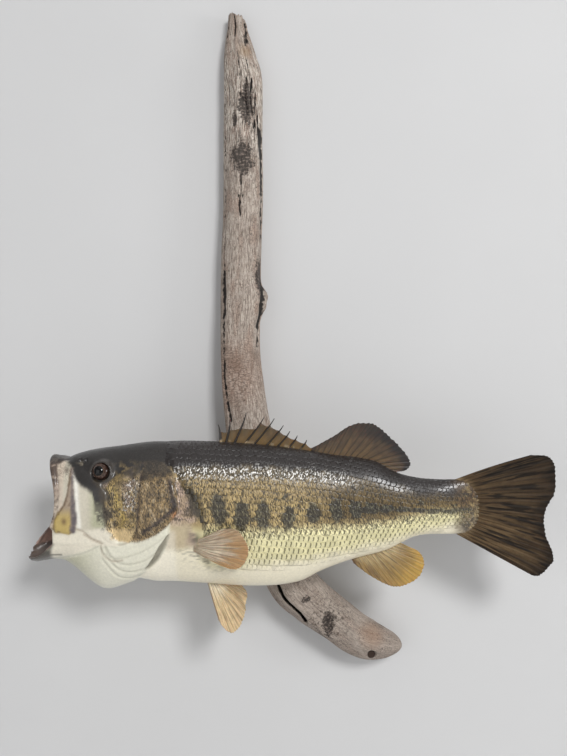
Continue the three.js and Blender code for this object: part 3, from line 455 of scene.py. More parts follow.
def cover_half(x, z):
    """The body's width, read no further forward than the jaw joint, and a lift that grows to the rear."""
    back = np.maximum(x, COVER["jaw"])
    narrower = section(back)[2] - section(x)[2]
    lift = lerp(COVER["front"], COVER["rear"], smooth((x - 60) / 62)) * (1 - 0.97 * smooth((z - 32) / 14))
    return body_half(back, np.maximum(z, -20)) - narrower + lift - 1.5 * smooth((-8 - z) / 18)


def preopercle_x(z):
    """The edge between cheek and gill cover: it leans with height and sweeps forward below."""
    p = PREOPERCLE
    return p["x"] + p["lean"] * (z - p["z"]) - p["flare"] * smooth((-4 - z) / 22)


def cover_relief(x, z):
    """Ridges of the shield: the edge of the preopercle, the groove behind it, and a low ridge in front."""
    gap = x - preopercle_x(z)
    ridge = 0.9 * dent(gap + 2.2, 2.2) - 1.5 * dent(gap - 1.2, 1.5)
    inner = 0.5 * dent(gap + 11, 2.0) * smooth((30 - z) / 20)
    return ridge * smooth((52 - z) / 14) + inner


def cover_form(side, rings=60, sides=200):
    """Rings from the shield's centre to its outline, over the outside and back under the inside."""
    turn = np.linspace(0, 1, sides, False)
    edge = through(COVER_OUTLINE, turn, closed=True)
    share = np.linspace(0.02, 1, rings)[:, None, None]
    x, z = np.moveaxis(np.array(COVER["centre"]) + share * (edge - np.array(COVER["centre"])), -1, 0)
    round_off = 1.0 * smooth((share[..., 0] - 0.93) / 0.07)
    outer = cover_half(x, z) + cover_relief(x, z) - round_off
    wall = lerp(COVER["wall"], COVER["flap"], smooth((x - 84) / 36)) - 2 * round_off
    front = np.stack([x, side * outer, z], -1)
    back = np.stack([x, side * (outer - wall), z], -1)
    return tube(np.concatenate([front, back[::-1]]))


# %% [markdown]
# A ring of skin holds each eye. The eye's axis looks sideways, a little forward and up, and the ring is
# a torus about that axis, pressed into the head.

# %% Eye sockets
EYE = {"x": 54.4, "z": 41.8, "radius": 8.9, "bulge": 3.9, "lid": 1.5}


def eye_frame(side):
    """Centre on the head's surface and three axes: forward in the eye's plane, up in it, and outwards."""
    centre = np.array([EYE["x"], side * float(body_half(EYE["x"], EYE["z"])), EYE["z"]])
    out = unit(np.array([-0.2, side * 0.95, 0.24]))
    forward = unit(np.array([-1.0, 0, 0]) + out * out[0])
    return centre, forward, np.cross(out, forward) * -side, out


def lid_form(side, steps=64, sides=16):
    """A torus in the eye's plane."""
    centre, forward, up, out = eye_frame(side)
    u = turns(steps)[:, None, None]
    v = turns(sides)[None, :, None]
    radius = EYE["radius"] + 0.5 + EYE["lid"] * np.cos(v)
    points = centre + radius * (np.cos(u) * forward + np.sin(u) * up) + (EYE["lid"] * np.sin(v) - 0.3) * out
    index = grid_faces(steps + 1, sides, around=True)
    return points.reshape(-1, 3), index % (steps * sides)


def socket_form(side):
    """A shallow pillow that fills the head's surface up to the lid."""
    centre, forward, up, out = eye_frame(side)
    u = turns(48)[None, :, None]
    v = np.linspace(-1, 1, 24)[:, None, None] * np.pi / 2
    rim = EYE["radius"] + 3.5
    circle = np.cos(u) * forward + np.sin(u) * up
    return tube(centre - 4 * out + rim * np.cos(v) * circle + 4.2 * np.sin(v) * out)


# %% [markdown]
# The shells cross one another, so they are not yet one skin. Blender's Remesh modifier lays them all in a
# fine lattice of cubes and wraps one surface round the lot, which joins them with soft fillets, as skin
# does. The plain trunk needs fewer faces than the head, so it is squeezed lengthwise while the lattice is
# laid and stretched again afterwards.

# %% One skin out of many shells
VOXEL = 1.2
SQUEEZE_FROM, SQUEEZE = 130, 2.6
SHELL_NAMES = ["body", "jaw", "lip", "bone", "rear bone", "mouth skin", "cover", "lid"]
shells = [("body", body_form), ("jaw", trough_form), ("lip", lip_form()), ("lip", snout_form())]
for side in (-1, 1):
    shells.append(("mouth skin", side_patch(SKIN_FRONT, SKIN_REAR, side, 0, 3, bulge=2)))
    shells.append(("bone", side_patch(MAXILLA_FRONT, MAXILLA_REAR, side, 2.8, 3.3, crease=0.9)))
    shells.append(("rear bone", side_patch(MAXILLA_MIDDLE, SUPRAMAXILLA_REAR, side, 2.3, 3.3, crease=0.7)))
    shells.append(("cover", cover_form(side)))
    shells.append(("lid", lid_form(side)))
    shells.append(("lid", socket_form(side)))


def squeezed(points, share):
    """x beyond a start, scaled towards it by share."""
    x = points[:, 0]
    scaled = SQUEEZE_FROM + (x - SQUEEZE_FROM) * share
    return np.column_stack([np.where(x > SQUEEZE_FROM, scaled, x), points[:, 1:]])


all_points, all_faces = joined([form for _, form in shells])
soup = new_mesh("shells", squeezed(all_points, 1 / SQUEEZE) * MM, all_faces, merge=True)
remesh = soup.modifiers.new("one_skin", "REMESH")
remesh.mode = "VOXEL"
remesh.voxel_size = VOXEL * MM
remesh.adaptivity = 0
depsgraph = bpy.context.evaluated_depsgraph_get()
wrapped = bpy.data.meshes.new_from_object(soup.evaluated_get(depsgraph))


def mesh_arrays(mesh):
    """Vertex positions, quads and edges of a mesh as arrays."""
    points = np.empty(len(mesh.vertices) * 3, np.float32)
    mesh.vertices.foreach_get("co", points)
    corners = np.empty(len(mesh.loops), np.int32)
    mesh.loops.foreach_get("vertex_index", corners)
    edges = np.empty(len(mesh.edges) * 2, np.int32)
    mesh.edges.foreach_get("vertices", edges)
    return points.reshape(-1, 3).astype(float), corners.reshape(-1, 4), edges.reshape(-1, 2)


skin_points, skin_faces, skin_edges = mesh_arrays(wrapped)
skin_points = squeezed(skin_points / MM, SQUEEZE)
bpy.data.objects.remove(soup)
bpy.data.meshes.remove(wrapped)
print("skin:", len(skin_points), "points,", len(skin_faces) * 2, "triangles")

# %% [markdown]
# The lattice leaves small steps. Each point is moved half way to the mean of its neighbours a few times,
# which is what a sculptor's smoothing brush does. The same averaging softens any value kept per point.

# %% Smooth the steps away
def spread(values, edges, times, share=0.5):
    """Values moved by a share towards the mean of their neighbours, several times over."""
    count = np.bincount(edges.ravel(), minlength=len(values))
    columns = values.reshape(len(values), -1).copy()
    for _ in range(times):
        for k in range(columns.shape[1]):
            total = np.bincount(edges[:, 0], columns[edges[:, 1], k], len(values))
            total += np.bincount(edges[:, 1], columns[edges[:, 0], k], len(values))
            columns[:, k] += share * (total / np.maximum(count, 1) - columns[:, k])
    return columns.reshape(values.shape)


def point_normals(points, faces):
    """Each point's normal: the sum of its quads' diagonal cross products, made unit length."""
    cross = np.cross(points[faces[:, 2]] - points[faces[:, 0]], points[faces[:, 3]] - points[faces[:, 1]])
    total = np.stack([np.bincount(faces.ravel(), np.repeat(cross[:, k], 4), len(points))
                      for k in range(3)], -1)
    return total / np.maximum(np.linalg.norm(total, axis=1, keepdims=True), 1e-12)


skin_points = spread(skin_points, skin_edges, 3)
skin_normals = point_normals(skin_points, skin_faces)
outward = np.sign((skin_normals[:, 2] * np.sign(skin_points[:, 2]))[np.abs(skin_points[:, 2]) > 55].mean())
skin_normals *= outward
print("skin without steps:", len(skin_points), "points")

# %% [markdown]
# Which shell did each point of the skin come from? Geometry Nodes can sample the nearest face of another
# mesh, so every face of the shells carries its shell's number and the skin reads it back. Spread a
# little, the numbers become soft masks that both the paint and the fine relief use.

# %% Masks of the shells
def nearest_shell(points, forms):
    """For each point, the index of the form whose surface is nearest."""
    cloud = new_mesh("points", points * MM, np.empty((0, 4), int))
    source_points, source_faces = joined(forms)
    source = new_mesh("source", source_points * MM, source_faces)
    number = source.data.attributes.new("shell", "INT", "FACE")
    numbers = np.repeat(np.arange(len(forms)), [len(faces) for _, faces in forms])
    number.data.foreach_set("value", numbers.astype(np.int32))
    tree = bpy.data.node_groups.new("nearest_shell", "GeometryNodeTree")
    tree.interface.new_socket("Geometry", in_out="INPUT", socket_type="NodeSocketGeometry")
    tree.interface.new_socket("Geometry", in_out="OUTPUT", socket_type="NodeSocketGeometry")
    group_in, group_out = tree.nodes.new("NodeGroupInput"), tree.nodes.new("NodeGroupOutput")
    info = tree.nodes.new("GeometryNodeObjectInfo")
    info.inputs["Object"].default_value = source
    named = tree.nodes.new("GeometryNodeInputNamedAttribute")
    named.data_type = "INT"
    named.inputs["Name"].default_value = "shell"
    sample = tree.nodes.new("GeometryNodeSampleNearestSurface")
    sample.data_type = "INT"
    store = tree.nodes.new("GeometryNodeStoreNamedAttribute")
    store.data_type = "INT"
    store.inputs["Name"].default_value = "shell"
    tree.links.new(group_in.outputs[0], store.inputs["Geometry"])
    tree.links.new(info.outputs["Geometry"], sample.inputs["Mesh"])
    tree.links.new(named.outputs["Attribute"], sample.inputs["Value"])
    tree.links.new(sample.outputs["Value"], store.inputs["Value"])
    tree.links.new(store.outputs["Geometry"], group_out.inputs[0])
    cloud.modifiers.new("sample", "NODES").node_group = tree
    sampled = cloud.evaluated_get(bpy.context.evaluated_depsgraph_get()).data.attributes["shell"]
    result = np.empty(len(points), np.int32)
    sampled.data.foreach_get("value", result)
    for piece in (cloud, source):
        bpy.data.objects.remove(piece)
    bpy.data.node_groups.remove(tree)
    return result


shell_kinds = np.array([SHELL_NAMES.index(name) for name, _ in shells])
kind = shell_kinds[nearest_shell(skin_points, [form for _, form in shells])]
skin_masks = {name: spread((kind == i) * 1.0, skin_edges, 2) for i, name in enumerate(SHELL_NAMES)}
print("points by shell:", {name: int((kind == i).sum()) for i, name in enumerate(SHELL_NAMES)})

# %% [markdown]
# Fine relief comes after the join: the rays of the throat, the slit behind the gill cover, the creases and
# folds of jaw, lip and shoulder, the edge of the upper jaw bone, hollows for the eyes and nostrils. Most of
# them are curves in side view, and every point of the skin sinks by an amount that falls off with its
# distance from the curve. Fine wrinkles on the head are added last.

# %% Carved lines
JAW_CREASE = [[8, -42], [16, -39.5], [26.5, -36.3], [42, -30.6], [57, -22]]
THROAT_RAYS = [
    [[58, -22], [62.5, -34.7], [75.2, -35.6], [96.1, -27.5], [114, -14.5]],
    [[59, -26], [68.4, -39.6], [82.2, -42], [98.5, -36], [111, -25]],
    [[58, -32], [70, -47], [84, -50], [98, -44.5], [106, -36]],
    [[56, -38], [68, -54], [80, -57.5], [91, -54], [98, -48]],
]
SHOULDER_LINES = [[[126, 36], [131, 28], [137, 22]], [[127, 22], [133, 12], [140, 6]],
                  [[127, 6], [134, -4], [141, -10]]]
NOSTRILS = [(34.2, 50.7), (39.6, 51.2)]
SLIT = [[117.5, -13], [111.2, -25.2], [105, -36.4], [98.3, -45.2], [92, -52]]
CHEEK_FRONT = [[46, 32], [51, 28], [53.5, 19.4], [54, 6], [57, -4], [61, -12], [64, -18]]
JAW_FOLDS = [
    [[30.3, -9], [38.3, -11.2], [46.1, -17.5], [54.1, -20.7]], [[39.2, -14.3], [48.1, -19.6], [56, -22.2]],
    [[54.9, -20.1], [55.4, -27.4], [58.2, -34.6], [66.2, -38.9], [74.2, -38]],
    [[56.7, -17.5], [63.6, -21.7], [73.5, -22.9], [81.5, -19.9], [85.6, -15.8]],
]
HEAD_SHADE = {"x": [18, 26, 32, 36.7, 42.2, 47.6, 50.2], "z": [50, 43.8, 33, 28, 25.6, 21.1, 12]}
LIP_FOLD = [[14, 47], [14.6, 34], [14.6, 18], [13, 4]]


def distance_to(curve, x, z, steps=60):
    """Distance in side view from each (x, z) to a smooth curve through a few points."""
    line = through(curve, shares(steps))
    return np.sqrt(((x[:, None] - line[:, 0]) ** 2 + (z[:, None] - line[:, 1]) ** 2).min(1))


def on_lines(lines, x, z, width):
    """1 on any of several lines drawn in side view."""
    return np.minimum(sum(dent(distance_to(line, x, z), width) for line in lines), 1)


# %% [markdown]
# The lines are now cut. Creases and folds only mark the sides and nostrils only the top of the head. Each
# groove of the throat lies between two low ridges.

# %% Cut the lines
sx, sy, sz = skin_points.T
side_facing = smooth((skin_normals[:, 1] * np.sign(sy) - 0.1) / 0.3)
top_facing = smooth((skin_normals[:, 2] + skin_normals[:, 1] * np.sign(sy)) / 0.3)
sunk = np.zeros(len(skin_points))
for lines, depth, width in (([JAW_CREASE], 0.7, 1.2), (JAW_FOLDS, 0.55, 0.9), (SHOULDER_LINES, 0.5, 1.3),
                            ([MAXILLA_FRONT], 0.8, 1.0)):
    for line in lines:
        sunk += depth * dent(distance_to(line, sx, sz), width) * side_facing
for ray in THROAT_RAYS:
    gap = distance_to(ray, sx, sz)
    sunk += (0.6 * dent(gap, 0.9) - 0.3 * dent(gap - 2.6, 1.4)) * side_facing * skin_masks["jaw"]
slit_width = np.interp(sz, [-52, -38, -24, -14], [0.6, 2.6, 3.0, 1.0])
slit = (smooth((slit_width + 0.6 - distance_to(SLIT, sx, sz)) / 1.2) * smooth((-12 - sz) / 3)
        * smooth((sz + 51) / 4))
sunk += 2.4 * slit * side_facing
sunk += 1.0 * dent(distance_to(LIP_FOLD, sx, sz), 1.1) * side_facing * (1 - skin_masks["bone"])
for side in (-1, 1):
    eye_centre, eye_forward, eye_up, eye_out = eye_frame(side)
    arm = skin_points - eye_centre
    off_axis = np.hypot(arm @ eye_forward, arm @ eye_up)
    sunk += 3.2 * smooth((8.7 - off_axis) / 1.0) * (arm @ eye_out > -6)
for nx, nz in NOSTRILS:
    hollow = np.hypot(sx - nx, sz - nz)
    sunk += (2.6 * dent(hollow, 1.3) - 0.5 * dent(hollow - 2.1, 0.8)) * top_facing
wrinkles = layered(skin_points * [1, 1, 0.5], 3.2, seed=5) * 0.16 * (sx < 112) * (1 - skin_masks["body"])
skin_points = skin_points - skin_normals * (sunk - wrinkles)[:, None]
skin_normals = point_normals(skin_points, skin_faces) * outward
print("deepest line:", round(float(sunk.max()), 2), "mm")

# %% [markdown]
# Paint. A mounted fish is sprayed in layers, and so is this one: a base colour, then each later colour
# through a soft mask. Masks are functions of place on the fish, roughened with noise, so skin and scales
# read the same marks. The heights where one tone gives way to the next follow the length of the body.

# %% Colours and tone heights
PAINT = {name: srgb(code) for name, code in {
    "back": "262120", "head top": "24211f", "silver_and_painted_sheen": "b7aa92", "olive": "9b875c", "dull olive": "89754e",
    "brown": "5a4a2c", "blotch": "35312a", "lower flank": "d8d0a2", "belly": "dfd7bf", "shoulder": "937f6e",
    "shoulder pink": "b9a294", "collar": "b5a688", "cheek": "927d52", "cheek dark": "302a24",
    "cheek violet": "9a8880", "yellow": "b59c55", "peach": "c6ad80", "cover": "806b49",
    "cover line": "2e2526", "white skin": "c3bcaa", "green white": "a9a88c", "bright": "efece2",
    "throat": "d6d3c1", "jaw": "dad3c1", "jaw lip": "5b584c", "lip": "54463d", "lip pale": "a08f80",
    "fold": "c6b8a6", "bone": "968570", "paddle": "b39c5c", "spot": "5f4328", "rear bone": "5a5152",
    "mouth": "a8897c", "gullet_and_depth_shade": "8a5d50", "rust": "a5643a", "slit": "7d7868", "lid": "35302c",
    "socket": "45403a", "crack": "8f8a78", "tail root": "54412b", "crease": "8d7c68", "lip dark": "403b34",
}.items()}
TONES_AT = [20, 130, 200, 250, 300, 320, 345, 370, 408]
BACK_EDGE = [42, 45, 44, 40.5, 33, 25, 19, 16, 14]
FLANK_EDGE = [-14, -14, -17, -16, -14, -12, -7, -3, -1]
BELLY_EDGE = [-50, -52, -51, -47, -38, -34, -25, -18, -15]
BLOTCHES = [  # x, z, height
    (141, 14, 33), (163.5, 9.4, 31), (183.6, 3.4, 29), (203.8, 3.6, 29), (226.6, 1, 21), (249.3, 3.8, 20),
    (270, 5.4, 20), (289, 6.6, 15), (303, 7.5, 10), (317, 6.5, 7), (332, 5, 5.5), (347, 4.4, 5),
    (362, 3.6, 4.5), (377, 3, 4.5),
]
BLOTCH_WIDTH = 13.0
print("colours:", len(PAINT), "and dark marks along the side:", len(BLOTCHES))


# %% [markdown]
# The body's paint: a pale belly, an olive flank, a silver band that is partly painted highlight, and a dark
# back, with a row of dark blotches along the side whose outline is torn by noise.

# %% Paint of the body
def layer(base, colour, mask):
    """Paint laid over a base where the mask is 1; the base is a colour's name or an array of colours."""
    start = PAINT[base] if isinstance(base, str) else base
    return start + (PAINT[colour] - start) * mask[:, None]


def blotch_field(x, z):
    """1 in the middle of the dark marks along the side, falling slowly to 0, for a ragged edge later on."""
    place = np.stack([x, z], -1)
    field = np.zeros(len(x))
    for k, (at, height, tall) in enumerate(BLOTCHES):
        lean = 0.4 * smooth((175 - at) / 40)
        off = np.hypot((x - at + lean * (z - height)) / (BLOTCH_WIDTH * (0.5 if tall > 12 else 0.62)),
                       (z - height) / (tall * 0.5))
        field = np.maximum(field, np.clip(1.45 - off - 0.3 * layered(place, 5.5, seed=20 + k), 0, 1))
    stripe = dent(z - 4, 3) * smooth((x - 300) / 20) * (0.45 + 0.6 * layered(place, 4, seed=3))
    back = np.interp(x, TONES_AT, BACK_EDGE)
    specks = (0.62 * smooth((layered(place, 4.2, seed=8) - 0.3) / 0.2) * smooth((z + 16) / 10)
              * smooth((back - z) / 8))
    return np.maximum(np.maximum(field, stripe), specks) * smooth((x - 120) / 12)


def silver_and_sheen_band(x, z):
    """1 along the band under the dark back: partly silver paint, partly painted highlight."""
    under = z - np.interp(x, TONES_AT, BACK_EDGE) + 3 + 2.5 * layered(np.stack([x, z], -1), 8, seed=10)
    return dent(under, 5) * smooth((x - 104) / 26) * (1 - smooth((x - 268) / 34))


def body_paint(x, z, marked=True):
    """Back, olive flank, pale lower flank and belly, then the row of blotches and the shoulder."""
    place = np.stack([x, z], -1)
    ragged = z + 3.5 * layered(place, 9, seed=1)
    back, flank, belly = (np.interp(x, TONES_AT, heights)
                          for heights in (BACK_EDGE, FLANK_EDGE, BELLY_EDGE))
    colour = layer("belly", "lower flank",
                   smooth((ragged - belly) / 16) * (1 - smooth((160 - x) / 22) * smooth((-20 - z) / 10)))
    colour = layer(colour, "olive", smooth((ragged - flank) / 13))
    colour = layer(colour, "dull olive", 0.5 * smooth((ragged - lerp(flank, back, 0.45)) / 12))
    colour = layer(colour, "brown", 0.95 * smooth((x - 232) / 50) * smooth((ragged - flank - 4) / 12))
    # The band under the dark back: partly silver paint, partly painted highlight.
    colour = layer(colour, "silver_and_painted_sheen", 0.35 * silver_and_sheen_band(x, z))
    colour = layer(colour, "back", smooth((ragged - back + 2 + 4 * smooth((x - 290) / 30))
                                          / lerp(6, 12, smooth((x - 290) / 30))))
    shoulder = (smooth((144 - 0.25 * z - x + 6 * layered(place, 8, seed=4)) / 10) * smooth((z + 30) / 10)
                * smooth((38 - z) / 8))
    colour = layer(colour, "shoulder", 0.8 * shoulder)
    colour = layer(colour, "shoulder pink",
                   shoulder * smooth((layered(place, 4, seed=6) + 0.1) / 0.3) * 0.6)
    colour = layer(colour, "cheek dark",
                   0.75 * shoulder * smooth((layered(place, 5, seed=15) - 0.14) / 0.16)
                   * smooth((z + 18) / 8))
    if marked:
        colour = layer(colour, "blotch", 0.9 * smooth((blotch_field(x, z) - 0.5) / 0.25))
    fin_root = blob(x - 141.5, 5, z + 17.5, 5) * smooth((layered(place, 4, seed=7) + 0.35) / 0.3)
    collar = smooth((136 - x + 0.2 * (z + 30)) / 9) * smooth((2 - z) / 12)
    colour = layer(colour, "collar", collar * smooth((z + 34) / 14))
    colour = layer(colour, "bright", 0.3 * collar * smooth((126 - x) / 6) * smooth((-6 - z) / 8))
    dots = smooth((layered(place, 1.9, seed=9, octaves=2) - 0.14) / 0.12)
    near_fin = blob(x - 148, 24, z + 38 + 0.35 * (x - 146), 8)
    colour = layer(colour, "blotch", np.maximum(0.6 * dots * near_fin, 0.85 * fin_root))
    colour = layer(colour, "tail root", 0.9 * smooth((x - 374 + 4 * layered(place, 6, seed=11)) / 20))
    rough_end = smooth((x - 386 + 5 * layered(place, 5, seed=13)) / 8)
    colour = layer(colour, "blotch", 0.75 * rough_end * smooth((layered(place, 3, seed=12) - 0.02) / 0.15))
    return layer(colour, "olive", 0.5 * rough_end * smooth((layered(place, 2.2, seed=14) - 0.2) / 0.15))


# %% [markdown]
# The head is dark on top. Cheek and gill cover are gold with dark streaks, and the jaw is cream with a dark
# lip.

# %% Paint of the head
def head_paint(x, z):
    """The dark top of the head, fading behind the gill covers into the body's own tones."""
    colour = body_paint(x, z)
    top = smooth((z - 30 + 3 * layered(np.stack([x, z], -1), 8, seed=31)) / 8) * smooth((128 - x) / 22)
    colour = layer(colour, "head top", np.maximum(top, smooth((62 - x) / 8) * smooth((z - 20) / 8)))
    mottle = (smooth((layered(np.stack([x, z], -1), 3, seed=34) + 0.02) / 0.25) * smooth((x - 64) / 10)
              * smooth((132 - x) / 8))
    colour = layer(colour, "dull olive", 0.6 * mottle * smooth((54 - z) / 12) * smooth((z - 24) / 8))
    # A pale painted sheen on the upper head, round and in front of the eye.
    pale = smooth((layered(np.stack([x, z], -1), 6, seed=33) - 0.3) / 0.3) * smooth((75 - x) / 20)
    return layer(colour, "silver_and_painted_sheen", 0.35 * pale * smooth((56 - z) / 8) * smooth((z - 36) / 6))


def peach_corner(x, z):
    """1 on the smooth lower corner of the cheek."""
    ragged = 3 * layered(np.stack([x, z], -1), 6, seed=44)
    return smooth((-6 - z + ragged) / 6) * smooth((preopercle_x(z) + 2 - x) / 4)


def cover_paint(x, z):
    """Gold mottling on cheek and gill cover, a peach lower corner and the dark line of the flap."""
    place = np.stack([x, z], -1)
    colour = layer("cheek", "cover", smooth((x - preopercle_x(z)) / 3))
    streaks = layered(np.stack([x + 0.3 * z, z * 0.55], -1), 2.6, seed=41)
    colour = layer(colour, "cheek dark", 0.55 * smooth((streaks + 0.02) / 0.3))
    # Pale streaks: a painted sheen on the cheek and gill cover.
    colour = layer(colour, "silver_and_painted_sheen", 0.3 * smooth((-0.15 - streaks) / 0.3))
    violet = dent(x - preopercle_x(z) + 7, 6) * smooth((z - 2) / 10)
    colour = layer(colour, "cheek violet", 0.6 * violet * smooth((layered(place, 4, seed=42) + 0.4) / 0.5))
    front = smooth((67 + 0.12 * (20 - z) - x + 11 * layered(place, 4, seed=43)) / 6)
    colour = layer(colour, "cheek dark", 0.92 * front * smooth((z + 14) / 8))
    stripe = dent(distance_to([[66, 27], [70.2, 18.9], [73.5, 10], [76.5, 2.6], [77, -4]], x, z), 3.4)
    colour = layer(colour, "yellow", 0.6 * stripe * smooth((layered(place, 3.5, seed=47) + 0.5) / 0.5))
    corner = peach_corner(x, z)
    colour = layer(colour, "peach", corner)
    spots = smooth((layered(place, 2.6, seed=45, octaves=2) - 0.5) / 0.1)
    colour = layer(colour, "cheek dark", 0.7 * spots * corner)
    colour = layer(colour, "head top", 0.85 * smooth((z - 34 + 8 * layered(place, 4, seed=46)) / 9))
    # Painted shade in the groove just behind the preopercle's edge.
    colour = layer(colour, "cover line",
                   0.75 * dent(x - preopercle_x(z) - 1.4, 1.3) * smooth((z + 14) / 10))
    colour = layer(colour, "rust", 0.6 * blob(x - 123.5, 3, z - 5, 4))
    line = distance_to([[118.5, 35], [120, 26.2], [123.2, 17.3], [122, 11.2], [112.6, 2.8], [102.7, -4.9],
                        [95, -10]], x, z)
    rim = distance_to([[125.4, 6.2], [119.6, -2.8], [107, -13.9], [93.7, -22.2], [88, -23]], x, z)
    tip = blob(x - 121.5, 2.6, z - 19, 7)
    dark = np.maximum.reduce([0.95 * dent(line, 2.2), 0.7 * dent(rim, 1.5), 0.95 * tip])
    return layer(colour, "cover line", dark)


def jaw_paint(x, z):
    """Cream jaw and green-white throat, with a dark lip round the front of the jaw."""
    crease = np.interp(x, [p[0] for p in JAW_CREASE], [p[1] for p in JAW_CREASE])
    colour = layer("throat", "jaw", smooth((z - crease) / 3) * (x < 62))
    colour = layer(colour, "green white", smooth((crease - z) / 3) * smooth((60 - x) / 40) * 0.8)
    # Painted shade along the carved throat rays, jaw crease and jaw folds.
    lines = on_lines(THROAT_RAYS, x, z, 0.8) + on_lines([JAW_CREASE], x, z, 0.9)
    colour = layer(colour, "crack", 0.35 * np.minimum(lines, 1))
    colour = layer(colour, "crease", 0.6 * on_lines(JAW_FOLDS, x, z, 0.9))
    shade = dent(distance_to([[16, -35.9], [2.8, -36.6], [-9.4, -37.2]], x, z), 1.0)
    lip = smooth((10 - x + 0.45 * (z + 30)) / 4)
    return layer(colour, "jaw lip", 0.9 * np.maximum(lip, shade))


# %% [markdown]
# Each part of the skin has a paint of its own, and every one of them is worked out for all points of the
# skin: lip, upper jaw bones, the white skin of the mouth, and the rest.

# %% Paint of each part
count = len(skin_points)
sx, sy, sz = skin_points.T
place = np.stack([sx, sz], -1)
mottle = layered(skin_points, 3.4, seed=51)
lip_paint = layer("lip", "lip pale", smooth(mottle / 0.3) * 0.8)
lip_paint = layer(lip_paint, "fold", 0.75 * smooth((26 - sz) / 14) * smooth((mottle + 0.4) / 0.5))
lip_paint = layer(lip_paint, "head top", smooth((sz - 47) / 4) * 0.8)
bone_paint = layer("bone", "paddle", smooth((12 - sz) / 12))
bone_paint = layer(bone_paint, "spot", 0.8 * blob(sx - 21.5, 2.6, sz + 2, 3.2))
bone_paint = layer(bone_paint, "spot", 0.55 * smooth((mottle - 0.25) / 0.2))
# Painted shade along the carved crease at the bone's front edge.
bone_paint = layer(bone_paint, "spot", 0.7 * dent(distance_to(MAXILLA_FRONT, sx, sz), 1.2))
bone_paint = layer(bone_paint, "lip pale", 0.6 * smooth((sz - 12) / 14) * smooth((mottle + 0.2) / 0.4))
# Greener and greyer towards the cheek: painted shade on the rear of the bulging skin.
white_paint = layer("white skin", "green white", smooth((sx - 41) / 10) * smooth((36 - sz) / 12)
                    * smooth((sz + 12) / 8))
# A painted highlight: a pale strip along the bulge just behind the rear bone.
white_paint = layer(white_paint, "bright", 0.8 * dent(sx - 34 + 0.08 * (sz - 10), 2.2)
                    * smooth((sz + 12) / 6))
white_paint = layer(white_paint, "fold", smooth((22 - sx) / 4) * smooth((sz + 6) / 6))
white_paint = layer(white_paint, "lip pale",
                    0.7 * smooth((mottle + 0.05) / 0.3) * smooth((20 - sx) / 5) * smooth((sz + 4) / 6))
white_paint = layer(white_paint, "lip", 0.8 * blob(sx - 22, 2.6, sz - 43, 3))
white_paint = layer(white_paint, "jaw", smooth((-10 - sz + 0.15 * (sx - 30)) / 4))
shade = smooth((sz - np.interp(sx, HEAD_SHADE["x"], HEAD_SHADE["z"]) + 1.2 * mottle + 1) / 6)
white_paint = layer(white_paint, "head top", shade)
line_z = np.array(CHEEK_FRONT)[::-1]
front_gap = sx - np.interp(sz, line_z[:, 1], line_z[:, 0])
behind_front = smooth((front_gap - 4 * mottle) / 5) * smooth((sz + 20) / 3)
dark_front = (smooth((front_gap + 6) / 4) * smooth((mottle + 0.15) / 0.25) * smooth((sz + 14) / 8)
              * smooth((30 - sz) / 8))
white_paint = layer(white_paint, "cheek dark", 0.8 * dark_front)
white_paint = lerp(white_paint, cover_paint(sx, sz), behind_front[:, None])
paints = {
    "body": head_paint(sx, sz), "jaw": jaw_paint(sx, sz), "lip": lip_paint, "bone": bone_paint,
    "rear bone": layer("rear bone", "lip pale", 0.25 * smooth(mottle / 0.3)),
    "mouth skin": white_paint, "cover": cover_paint(sx, sz),
    "lid": layer("lid", "socket", 0.5 * smooth(mottle / 0.3)),
}
print("paints of the skin:", ", ".join(paints))

# %% [markdown]
# The masks of the shells mix these paints. Surfaces that look inwards belong to the mouth and get its dull
# red, darker further in: partly the gullet's colour, partly painted shade. Carved folds and the gill slit
# get painted shade. Each point also gets a grain, which says how strongly the finish streaks it.

# %% Mix the paints
skin_paint = sum(skin_masks[name][:, None] * paints[name] for name in SHELL_NAMES)
outwards = skin_normals[:, 1] * np.sign(sy)
inset = lerp(0.5, 6, smooth((sx - 40) / 14))
within = (np.abs(sy) < mouth_half(sx, sz) - inset) * (sx < 80) * (sz < 47) * (sz > -52)
lining = skin_masks["body"] * smooth((0.3 - outwards - 0.6 * skin_normals[:, 2]) / 0.3)
lining += skin_masks["jaw"] * smooth((np.maximum(skin_normals[:, 2], -outwards) - 0.2) / 0.3)
lining += ((skin_masks["mouth skin"] + skin_masks["lip"] + skin_masks["bone"])
           * smooth((-0.25 - outwards) / 0.3))
skin_paint = layer(skin_paint, "mouth", np.clip(lining, 0, 1) * within)
# Darker red further into the mouth: partly the gullet's colour, partly painted shade of its depth.
skin_paint = layer(skin_paint, "gullet_and_depth_shade", np.clip(lining, 0, 1) * within * smooth((sx + 3) / 9))
jaw_rim = dent(distance_to([[-14, -36], [-8.8, -25.8], [-2.5, -17.5], [4.8, -10.3]], sx, sz), 1.3)
low_lip = smooth((-30.5 - sz + 0.1 * sx + 1.5 * mottle) / 3) * smooth((9 - sx) / 5)
skin_paint = layer(skin_paint, "lip dark", np.maximum(0.7 * jaw_rim, 0.85 * low_lip) * skin_masks["jaw"])
# Painted shade in the carved folds of jaw and mouth skin.
fold_shade_lines = on_lines(JAW_FOLDS[:2], sx, sz, 0.9) * (skin_masks["mouth skin"] + skin_masks["jaw"])
skin_paint = layer(skin_paint, "crease", 0.6 * fold_shade_lines * (outwards > 0.1))
